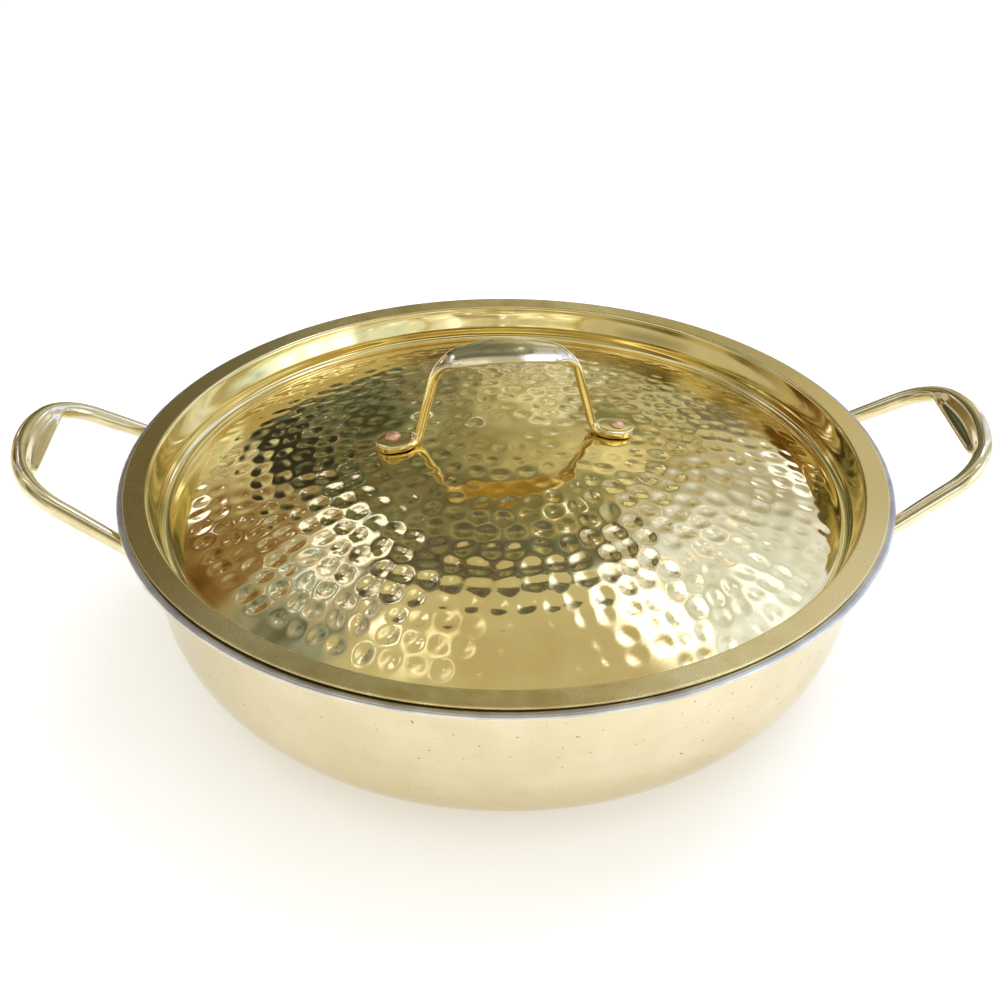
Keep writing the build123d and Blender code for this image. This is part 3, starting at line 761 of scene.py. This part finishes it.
def rivet(name, origin, normal, grip, radius, head, head_height, body):
    """A rivet whose outer head sits at origin, with its axis along normal and its grip behind."""
    ball = (head**2 + head_height**2) / (2 * head_height)
    reach = np.linspace(0, np.arctan2(head, ball - head_height), 9)
    cap = np.stack([ball * np.sin(reach), ball * np.cos(reach) - ball + head_height], axis=-1)
    cap[:, 1] += RIVET_GAP
    tail = cap[::-1] * (1, -1)
    tail[:, 1] -= grip
    profile = np.concatenate([tail[::-1], [(head * 0.97, -grip - RIVET_GAP + 0.02), (radius, -grip)],
                              [(radius, 0), (head * 0.97, RIVET_GAP - 0.02)], cap[::-1]])
    points = revolved(profile, RIVET_SEGMENTS)
    normal = unit(normal)
    first = unit(np.cross(normal, [0.3, 1.0, 0.1]))
    second = np.cross(normal, first)
    placed = origin + points[..., :1] * first + points[..., 1:2] * second + points[..., 2:] * normal
    index = np.arange(points.shape[0] * RIVET_SEGMENTS).reshape(-1, RIVET_SEGMENTS)
    return make_piece("set_" + name, placed.reshape(-1, 3), grid_faces(index), body, "copper",
                      [rivet_copper], [name])


LEFT_RIVET_SHIFT = 1.6
for side_sign, side_word in ((-1, "left"), (1, "right")):
    place = over_dome(side_sign, foot_middle + STRAP / 2)
    shift = LEFT_RIVET_SHIFT if side_sign < 0 else 0
    origin = place[0] * lid_along + place[1] * UP + shift * lid_back
    lean_out = side_sign * np.sin(rivet_lean) * lid_along + np.cos(rivet_lean) * UP
    rivet(f"lid_rivet_{side_word}", origin, lean_out, LID_SHEET + 2 * foot_middle, *LID_RIVET, "lid")

# %% [markdown]
# ## Side handles
# Each side handle is a cast loop that stands up and out from the wall. Its grip carries a web on
# the inside, dished on both faces, so the section runs from a round bar to a blade with a bar at
# its back. It is one section carried along the loop: round on the legs, and stretched inwards
# to the web's straight edge on the grip. Below the rim each leg ends in a pad on the wall.

# %% Side handle loop
ROD, HANDLE_TILT, HANDLE_DROP = 3.4, np.radians(30.5), 5.9
LEG_SPACING, TOE_IN, GRIP_REACH = 38.5, np.radians(11.1), 40.9
CORNER_BEND, GRIP_BEND, WEB_EDGE = 25.0, 57.0, 31.2
LEG_ROOT, LOOP_STATIONS = -16.8, 261
LEG_THINNER, FOOT_SWELL, UPPER_DISH, LOWER_DISH = 0.35, 1.9, 0.62, 0.45
PAD_WIDTH, PAD_HEIGHT, PAD_THICKNESS, PAD_DROP, PAD_GAP = 27.0, 18.0, 3.2, 15.0, 0.05
PAD_LIFT, PAD_EDGE, PAD_CHAMFER, PAD_POINTS = PAD_THICKNESS + PAD_GAP, 0.09, 0.3, 72
SIDE_RIVET_PITCH, SIDE_RIVET_DROP = 18.0, 18.0
handle_z = PAN_HEIGHT - HANDLE_DROP


def loop_line():
    """The rod's middle line in the handle's plane, as (out from the rim, along the rim).

    The corner's arc touches the leg's line and the inside of the grip's arc.
    """
    grip_middle = np.array([GRIP_REACH - GRIP_BEND, 0])
    along = np.array([np.cos(TOE_IN), -np.sin(TOE_IN)])
    inwards = np.array([-np.sin(TOE_IN), -np.cos(TOE_IN)])
    first = np.array([0, LEG_SPACING]) + inwards * CORNER_BEND
    offset = first - grip_middle
    gone = offset @ along
    rest = offset @ offset - (GRIP_BEND - CORNER_BEND) ** 2
    middle = first + along * (np.sqrt(gone**2 - rest) - gone)
    way_out = unit(middle - grip_middle)
    leg_way = np.arctan2(-inwards[1], -inwards[0])
    meet = np.arctan2(way_out[1], way_out[0])
    root = np.array([LEG_ROOT, LEG_SPACING - LEG_ROOT * np.tan(TOE_IN)])
    leg_end = middle - inwards * CORNER_BEND
    leg = root + (leg_end - root) * np.linspace(0, 1, 40)[:-1, None]
    corner = arc(middle, CORNER_BEND, leg_way, meet, 60)[:-1]
    grip = arc(grip_middle, GRIP_BEND, meet, 0, 60)
    half = np.concatenate([leg, corner, grip])
    return np.concatenate([half, half[-2::-1] * (1, -1)])


loop_middle, loop_length = by_length(loop_line(), np.linspace(0, 1, LOOP_STATIONS))
loop_way = unit(np.gradient(loop_middle, axis=0))
# The line runs from +v round the grip to -v, so its inside lies to the right of its way.
loop_in = np.stack([loop_way[:, 1], -loop_way[:, 0]], axis=-1)
print("side handle's rod:", round(loop_length, 1), "mm long")


def handle_section(count=64):
    """The handle's section at each station, as (inwards, upwards) in mm.

    Outside the middle line it is half a circle. Inside, the half circle is stretched to reach
    the web's straight edge, and pinched to b = r * sqrt(1 - x^2) * (1 - k * S(x)), where x is
    the share of the way in, and S is a smooth step. Where the edge is nearer than the rod's own
    radius, the section is the plain rod.
    """
    turn = np.arange(count) * 2 * np.pi / count
    away = loop_middle[:, 0] - WEB_EDGE
    to_edge = away / np.maximum(-loop_in[:, 0], 0.15)
    station = np.arange(LOOP_STATIONS)
    from_root = np.minimum(station, station[::-1]) / (LOOP_STATIONS - 1) * loop_length
    rod = (ROD - LEG_THINNER * (1 - smoothstep(8, 34, from_root))
           + FOOT_SWELL * (1 - smoothstep(0, 7.5, from_root)))
    reach = 0.5 * (to_edge + rod + np.sqrt((to_edge - rod) ** 2 + 1.2))
    web = smoothstep(rod * 1.05, rod * 2.2, reach)[:, None]
    x = np.clip(np.cos(turn), 0, 1) * np.ones_like(web)
    inwards = np.where(x > 0, x * reach[:, None], np.cos(turn) * rod[:, None])
    pinch = np.where(np.sin(turn) > 0, UPPER_DISH, LOWER_DISH) * web
    upwards = rod[:, None] * np.sin(turn) * (1 - pinch * smoothstep(0.05, 0.62, x))
    return inwards, upwards


def on_wall(points, way, depth):
    """Slide points along a direction until they lie depth mm inside the wall's outer face.

    Each step divides the distance left by the speed at which the direction closes it.
    """
    for _ in range(6):
        r = np.hypot(points[:, 0], points[:, 1])
        gap = r - wall_radius(points[:, 2], depth)
        closing = (points[:, 0] * way[0] + points[:, 1] * way[1]) / r - way[2] * np.tan(WALL_LEAN)
        points = points - (gap / closing)[:, None] * way
    return points


def foot_pads(side):
    """Both pads of a handle: squared ovals with a rounded edge, wrapped onto the wall.

    Each is a row of rings, from a point in the middle of the outer face out to the edge, round it,
    and back over the face on the wall.
    """
    turn = np.arange(PAD_POINTS) * 2 * np.pi / PAD_POINTS
    across = PAD_WIDTH / 2 * np.sign(np.cos(turn)) * np.abs(np.cos(turn)) ** 0.56
    up = PAD_HEIGHT / 2 * np.sign(np.sin(turn)) * np.abs(np.sin(turn)) ** 0.64
    bend = np.linspace(0, np.pi / 2, 7)
    scale = np.concatenate([[0, 0.4, 0.8], 1 - PAD_EDGE * (1 - np.sin(bend)), [1, 0.97, 0.5, 0]])
    lift = np.concatenate([[PAD_LIFT] * 3, PAD_LIFT - 1 + np.cos(bend),
                           [PAD_GAP + PAD_CHAMFER, PAD_GAP, PAD_GAP, PAD_GAP]])
    feet = []
    for foot in (-1, 1):
        angle = foot * FOOT_ANGLE + across[None] * scale[:, None] / WALL_TOP
        z = PAN_HEIGHT - PAD_DROP + up[None] * scale[:, None] * np.cos(WALL_LEAN)
        r = wall_radius(z, -lift[:, None])
        feet.append(np.stack([side * r * np.cos(angle), r * np.sin(angle), z], axis=-1))
    return feet


def side_handle(side):
    """Loop and pads of one side handle as a single mesh of closed shells."""
    tilt_x = np.array([side * np.cos(HANDLE_TILT), 0, np.sin(HANDLE_TILT)])
    tilt_z = np.array([-side * np.sin(HANDLE_TILT), 0, np.cos(HANDLE_TILT)])
    level_y = np.array([0, 1.0, 0])
    corner = np.array([side * RIM_RADIUS, 0, handle_z])
    inwards, upwards = handle_section()
    flat = loop_middle[:, None] + loop_in[:, None] * inwards[..., None]
    points = (corner + flat[..., :1] * tilt_x + flat[..., 1:] * level_y + upwards[..., None] * tilt_z)
    for row, way in ((0, loop_way[0]), (-1, loop_way[-1])):
        points[row] = on_wall(points[row], way[0] * tilt_x + way[1] * level_y, -1.2)
    # The ends are closed with a point in the middle of the last ring, hidden in the pad.
    caps = [np.repeat(points[row].mean(0)[None, None], points.shape[1], axis=1) for row in (0, -1)]
    parts = [np.concatenate([caps[0], points, caps[1]]), *foot_pads(side)]
    faces, count = [], 0
    for part in parts:
        index = count + np.arange(part.shape[0] * part.shape[1]).reshape(part.shape[:2])
        quads = grid_faces(index)
        grid = part.reshape(-1, 3)
        middle = grid.mean(0)
        a, b, c = grid[quads[:, 0] - count], grid[quads[:, 1] - count], grid[quads[:, 2] - count]
        inside_out = np.sum(np.cross(b - a, c - a) * (a - middle)) < 0
        faces.append(quads[:, ::-1] if inside_out else quads)
        count += part.shape[0] * part.shape[1]
    word = "right" if side > 0 else "left"
    return make_piece(f"cast_handle_{word}", np.concatenate([p.reshape(-1, 3) for p in parts]),
                      np.concatenate(faces), "pan", "handle_brass", [cast_brass],
                      [f"side_handle_{word}"])


def foot_place():
    """Angle about Z where a leg's middle line meets the wall, found by walking down the line."""
    u = np.linspace(-25, 0, 2001)
    v = LEG_SPACING - u * np.tan(TOE_IN)
    px, pz = RIM_RADIUS + u * np.cos(HANDLE_TILT), handle_z + u * np.sin(HANDLE_TILT)
    k = np.argmin(np.abs(np.hypot(px, v) - wall_radius(pz)))
    return float(np.arctan2(v[k], px[k])), float(u[k])


FOOT_ANGLE, wall_u = foot_place()
print("foot at", round(np.degrees(FOOT_ANGLE), 2), "degrees, leg meets the wall at u =", wall_u)
for side in (-1, 1):
    side_handle(side)
    rivet_z = PAN_HEIGHT - SIDE_RIVET_DROP
    rivet_turn = SIDE_RIVET_PITCH / 2 / wall_radius(rivet_z)
    for foot, foot_word in ((-1, "front"), (1, "back")):
        for shift, shift_word in ((-1, "outer"), (1, "inner")):
            about = foot * FOOT_ANGLE - foot * shift * rivet_turn
            radial = np.array([side * np.cos(about), np.sin(about), 0])
            normal = radial * np.cos(WALL_LEAN) - np.array([0, 0, np.sin(WALL_LEAN)])
            origin = radial * wall_radius(rivet_z) + np.array([0, 0, rivet_z]) + normal * PAD_LIFT
            word = "right" if side > 0 else "left"
            rivet(f"{word}_handle_rivet_{foot_word}_{shift_word}", origin, normal, SKIN + PAD_LIFT,
                  *SIDE_RIVET, "pan")

# %% [markdown]
# ## The studio
# The pan stands on a pale table that runs out to white. The table and the surround glow a little
# to the camera, and the table still takes the pan's shadow.

# %% Floor
FLOOR = 8.0


def rectangle(middle, right, up):
    """Four corners counter-clockwise round a middle, which lies half a side from each edge."""
    return [middle - right - up, middle + right - up, middle + right + up, middle - right + up]


def stage_mesh(name, corners, material, on_camera=True):
    """Flat stage pieces, one for every four corners (m), with plain UVs."""
    faces = np.arange(len(corners)).reshape(-1, 4).tolist()
    mesh = bpy.data.meshes.new(name)
    mesh.from_pydata([tuple(corner) for corner in corners], [], faces)
    mesh.uv_layers.new(name="uv").data.foreach_set("uv", [0, 0, 1, 0, 1, 1, 0, 1] * len(faces))
    mesh.materials.append(material)
    piece = bpy.data.objects.new(name, mesh)
    bpy.context.scene.collection.objects.link(piece)
    piece.visible_camera = on_camera
    piece.visible_shadow = on_camera


floor_material, tree, surface = empty_material("floor")
matt = add_node(tree, "ShaderNodeBsdfDiffuse", Color=(0.9, 0.9, 0.9, 1.0))
path = tree.nodes.new("ShaderNodeLightPath")
seen = calculate(tree, "MAXIMUM", path.outputs["Is Camera Ray"], path.outputs["Is Glossy Ray"])
seen = calculate(tree, "MAXIMUM", seen, path.outputs["Is Transmission Ray"])
glow = add_node(tree, "ShaderNodeEmission", Color=(1.0, 1.0, 1.0, 1.0),
                Strength=calculate(tree, "MULTIPLY", seen, 0.36))
both = add_node(tree, "ShaderNodeAddShader", i0=matt.outputs["BSDF"], i1=glow.outputs["Emission"])
tree.links.new(both.outputs["Shader"], surface)
stage_mesh("floor", rectangle(np.zeros(3), np.array([FLOOR, 0, 0]), np.array([0, FLOOR, 0])),
           floor_material)

world = bpy.data.worlds.new("surround")
world.use_nodes = True
tree = world.node_tree
path = tree.nodes.new("ShaderNodeLightPath")
surround = blend(tree, path.outputs["Is Camera Ray"], (0.63, 0.60, 0.50, 1.0), (0.95, 0.93, 0.86, 1.0))
tree.links.new(surround, tree.nodes["Background"].inputs["Color"])
bpy.context.scene.world = world

# %% [markdown]
# ## What the brass sees
# Polished brass is lit by what it sees: bright panels, and the dark gaps between them, draw its
# shape. So a room is built of glowing cards that the camera doesn't see. Each stands in a
# direction where the photograph shows something bright, dark or coloured in the lid, and a soft
# edge and a little noise keep it from looking like a card. Small sparks stand for lamps and
# shelves, whose glints fill the hammer marks.

# %% Cards
STAGE_MIDDLE = np.array([0, 0, 0.08])


def direction(azimuth, elevation):
    """The way towards an azimuth (0 is +Y, 90 is +X) and an elevation, both in degrees."""
    a, e = np.radians(azimuth), np.radians(elevation)
    return np.array([np.sin(a) * np.cos(e), np.cos(a) * np.cos(e), np.sin(e)])


def card(name, azimuth, elevation, width, height, shades, turn=0.0, soft=0.25, grain=3.0,
         distance=2.5):
    """A glowing card at a direction. Width, height and turn are in degrees, and edges are soft.

    shades gives the light, as linear red, green and blue, at places across the card. Noise of
    grain blots per card shifts the place, so the shades mix like things in a room. Soft is the
    part of the card that each edge takes to fade, and distance is in metres.
    """
    material, tree, surface = empty_material(name)
    uv = tree.nodes.new("ShaderNodeTexCoord").outputs["UV"]
    split = add_node(tree, "ShaderNodeSeparateXYZ", Vector=uv)
    shift = level(tree, noise(tree, uv, grain, 2.0), -0.9, 0.9)
    across = calculate(tree, "ADD", split.outputs["X"], shift)
    glow = add_node(tree, "ShaderNodeEmission", Color=ramp(tree, across, *shades.items()), Strength=1.0)
    insides = []
    for axis in ("X", "Y"):
        off = calculate(tree, "ABSOLUTE", calculate(tree, "SUBTRACT", split.outputs[axis], 0.5))
        insides.append(soft_step(tree, off, 0.5, 0.5 - soft))
    clear = tree.nodes.new("ShaderNodeBsdfTransparent")
    mix = add_node(tree, "ShaderNodeMixShader", i0=calculate(tree, "MULTIPLY", *insides),
                   i1=clear.outputs["BSDF"], i2=glow.outputs["Emission"])
    tree.links.new(mix.outputs["Shader"], surface)
    way = direction(azimuth, elevation)
    level_way = unit(np.cross(way, UP))
    steep_way = np.cross(level_way, way)
    c, s = np.cos(np.radians(turn)), np.sin(np.radians(turn))
    right = (c * level_way + s * steep_way) * distance * np.tan(np.radians(width / 2))
    up = (c * steep_way - s * level_way) * distance * np.tan(np.radians(height / 2))
    stage_mesh(name, rectangle(STAGE_MIDDLE + way * distance, right, up), material, on_camera=False)


SPARK_SHADES = {0.38: (1.6, 1.3, 1.6), 0.5: (2.2, 2.3, 3.0), 0.62: (1.3, 1.8, 3.0)}


def small_lights(name, azimuth, elevation, spread, count, size, seed, distance=2.05):
    """Small glowing cards scattered about a direction. Spread and size are in degrees."""
    material, tree, surface = empty_material(name)
    place = tree.nodes.new("ShaderNodeTexCoord").outputs["Object"]
    shade = ramp(tree, noise(tree, place, 9.0, 0.0), *SPARK_SHADES.items())
    glow = add_node(tree, "ShaderNodeEmission", Color=shade, Strength=1.0)
    tree.links.new(glow.outputs["Emission"], surface)
    rng = np.random.default_rng(seed)
    corners = []
    for a, e in rng.normal(0, 1, (count, 2)) * spread:
        way = direction(azimuth + a, elevation + e)
        level_way = unit(np.cross(way, UP))
        half = distance * np.tan(np.radians(size * rng.uniform(0.6, 1.3) / 2))
        right, up = level_way * half * rng.uniform(0.7, 1.6), np.cross(level_way, way) * half
        corners += rectangle(STAGE_MIDDLE + way * distance, right, up)
    stage_mesh(name, corners, material, on_camera=False)


# After the shades come the turn, the softness, the grain and the distance.
# The far side of the room, from the big dim things to the small bright ones in front of them.
card("room_dim", 2, 29, 56, 70, {0: (0.07, 0.07, 0.05), 0.25: (0.14, 0.18, 0.13),
                                 0.42: (0.30, 0.24, 0.17), 0.55: (0.20, 0.27, 0.20),
                                 0.75: (0.50, 0.43, 0.28), 1: (0.66, 0.64, 0.52)}, 0, 0.12, 9.0)
card("room_middle", 4, 14, 17, 40, {0: (0.26, 0.24, 0.14), 0.4: (0.50, 0.48, 0.33),
                                    0.7: (0.72, 0.71, 0.56), 1: (1.1, 1.15, 1.2)}, 0, 0.3, 9, 2.35)
card("room_middle_high", 3, 33, 20, 12, {0: (0.24, 0.21, 0.11), 1: (0.60, 0.57, 0.40)}, 0, 0.4, 6, 2.35)
card("room_middle_dark", 2, 46, 26, 12, {0: (0.12, 0.10, 0.06), 1: (0.30, 0.26, 0.18)}, 0, 0.35, 7, 2.36)
card("room_bright_high", 17, 33, 13, 16, {0: (0.60, 0.58, 0.44), 1: (1.15, 1.12, 0.92)}, 0, 0.4, 6, 2.34)
card("room_dark_high", -15, 34, 11, 14, {0: (0.08, 0.07, 0.04), 1: (0.26, 0.22, 0.13)}, 0, 0.4, 6, 2.34)
card("room_right", 46, 32, 38, 62, {0: (0.52, 0.52, 0.56), 0.4: (0.80, 0.90, 1.30),
                                    1: (1.15, 1.36, 2.30)}, 0, 0.2, 4.0)
card("room_left", -46, 30, 34, 30, {0: (0.07, 0.04, 0.015), 0.5: (0.22, 0.12, 0.05),
                                    1: (0.40, 0.32, 0.20)}, 0, 0.2, 6.0)
card("room_left_high", -46, 53, 34, 24, {0: (0.13, 0.13, 0.11), 0.45: (0.34, 0.41, 0.48),
                                         0.7: (0.52, 0.45, 0.46), 1: (0.80, 0.94, 1.30)}, 0, 0.2, 7.0)
card("room_left_low", -36, 6, 26, 20, {0: (0.12, 0.08, 0.03), 1: (0.40, 0.30, 0.15)}, 0, 0.2, 5.0)
card("arch_top", 0, 60, 56, 10, {0: (0.08, 0.07, 0.06), 1: (0.20, 0.22, 0.23)}, 0, 0.35, 5.0, 2.4)
card("arch_edge", 2, 64.6, 44, 3.4, {0: (0.05, 0.04, 0.03), 1: (0.09, 0.07, 0.04)}, 0, 0.4, 4, 2.3)
card("arch_right", 26, 54, 5, 18, {0: (0.06, 0.05, 0.03), 1: (0.12, 0.09, 0.05)}, -22, 0.4, 4, 2.3)
card("arch_left", -25, 56, 7, 12, {0: (0.06, 0.05, 0.03), 1: (0.10, 0.09, 0.06)}, 25, 0.4, 4, 2.3)
card("flag_left", -23, 21, 8, 32, {0: (0.02, 0.02, 0.015), 1: (0.06, 0.05, 0.04)}, 14, 0.3, 4, 2.3)
card("streak_left", -29, 19, 4, 16, {0: (0.40, 0.38, 0.28), 1: (0.80, 0.75, 0.55)}, 10, 0.4, 4, 2.2)
card("lights_left", -28, 46, 8, 15, {0.2: (0.50, 0.37, 0.40), 0.5: (1.2, 1.15, 1.5),
                                     1: (1.9, 2.1, 2.9)}, 12, 0.3, 5.0, 2.2)
card("lights_left_high", -39, 52, 10, 9, {0.3: (0.28, 0.28, 0.28), 0.6: (0.9, 1.0, 1.4),
                                          1: (1.4, 1.7, 2.6)}, 0, 0.4, 7.0, 2.2)
card("spot_left", -37, 20, 5, 6, {0: (1.9, 2.1, 3.0), 1: (2.4, 2.6, 3.6)}, 0, 0.3, 3, 2.1)
card("light_high_left", -42, 73, 20, 7, {0: (0.8, 0.8, 0.8), 1: (1.9, 1.9, 2.0)}, 0, 0.45, 5, 2.2)
card("spot_right", 36.5, 14, 9, 11, {0: (1.4, 1.6, 2.3), 1: (2.2, 2.5, 3.6)}, 20, 0.3, 3, 2.1)
card("stripe_right", 19.5, 14, 3, 16, {0: (0.5, 0.62, 0.5), 1: (0.70, 0.85, 0.72)}, 0, 0.4, 3, 2.2)
card("dark_right", 24, 7, 9, 22, {0: (0.16, 0.13, 0.11), 1: (0.36, 0.33, 0.31)}, -12, 0.35, 8, 2.3)
card("key_panel", 48, 61, 26, 15, {0: (3.0, 3.3, 5.0), 1: (4.8, 5.2, 8.0)}, 0, 0.48, 2, 2.2)
card("window_right", 53, 43, 14, 8, {0: (1.2, 1.4, 2.2), 1: (2.0, 2.3, 3.6)}, 15, 0.4, 4, 2.2)
small_lights("sparks_left", -28, 45, (3, 5), 14, 1.6, 1)
small_lights("sparks_left_high", -40, 52, (5, 4), 22, 1.1, 2)
small_lights("sparks_high", -44, 67, (6, 3), 7, 1.6, 3)
small_lights("sparks_left_far", -22, 15, (9, 12), 12, 0.8, 4)
small_lights("sparks_middle", 4, 12, (5, 9), 10, 0.7, 5)
small_lights("sparks_right", 38, 50, (9, 9), 16, 1.6, 6)
# The near side of the room: a bright window behind the camera, and dim things beside it.
card("window_behind", 150, 17, 50, 26, {0: (0.70, 0.76, 0.84), 0.6: (1.1, 1.2, 1.35),
                                        1: (2.0, 2.1, 2.4)}, 0, 0.2, 6.0)
card("photographer", 185, 46, 80, 36, {0: (0.16, 0.14, 0.10), 1: (0.48, 0.46, 0.40)}, 0, 0.25, 4.0, 2.4)
card("shop_behind", 180, 9, 70, 22, {0: (0.22, 0.18, 0.09), 0.5: (0.62, 0.58, 0.42),
                                     1: (1.7, 1.7, 1.6)}, 0, 0.25, 9.0)
card("shop_right", 100, 9, 66, 40, {0: (0.45, 0.55, 0.65), 0.45: (1.2, 1.45, 1.9),
                                    1: (2.6, 3.0, 3.8)}, 0, 0.2, 7.0)
card("flag_behind_left", 236, 30, 34, 44, {0: (0.40, 0.38, 0.30), 1: (0.10, 0.09, 0.06)})
card("side_left", 282, 26, 30, 34, {0: (0.10, 0.07, 0.04), 1: (0.60, 0.58, 0.52)}, 0, 0.25, 6.0)
card("dark_above", 150, 78, 60, 9, {0: (0.10, 0.08, 0.05), 1: (0.30, 0.26, 0.18)}, 20, 0.35, 4, 2.3)
card("tube_behind", 168, 66, 50, 4, {0: (2.0, 2.0, 2.1), 1: (3.0, 3.0, 3.2)}, 0, 0.35, 2, 2.2)
card("tube_left", 262, 58, 5, 34, {0: (1.8, 1.8, 1.9), 1: (2.8, 2.8, 3.0)}, 12, 0.35, 2, 2.2)
card("tube_right", 108, 56, 5, 30, {0: (1.8, 1.9, 2.1), 1: (2.8, 2.9, 3.2)}, -10, 0.35, 2, 2.2)
small_lights("sparks_behind", 182, 12, (26, 5), 16, 1.5, 7)

# %% [markdown]
# ## Lamps
# Three soft lamps light what isn't polished: the table, the tin and the copper. They are hidden
# from the metal's reflections, where the cards take their place.

# %% Lamps
def lamp(name, azimuth, elevation, width, energy, distance=1.7):
    """A square area lamp at a direction, facing the pan. The metal sees the cards instead of it."""
    data = bpy.data.lights.new(name, "AREA")
    data.size = 2 * distance * np.tan(np.radians(width / 2))
    data.energy = energy
    lamp_object = bpy.data.objects.new(name, data)
    bpy.context.scene.collection.objects.link(lamp_object)
    way = Vector(direction(azimuth, elevation))
    lamp_object.location = way * distance + Vector(STAGE_MIDDLE)
    lamp_object.rotation_mode = "QUATERNION"
    lamp_object.rotation_quaternion = way.to_track_quat("Z", "Y")
    lamp_object.visible_glossy = False


lamp("key_lamp", 45, 60, 34, 7.5)
lamp("fill_lamp", 215, 50, 40, 4.0)
lamp("top_lamp", -60, 75, 40, 4.0)
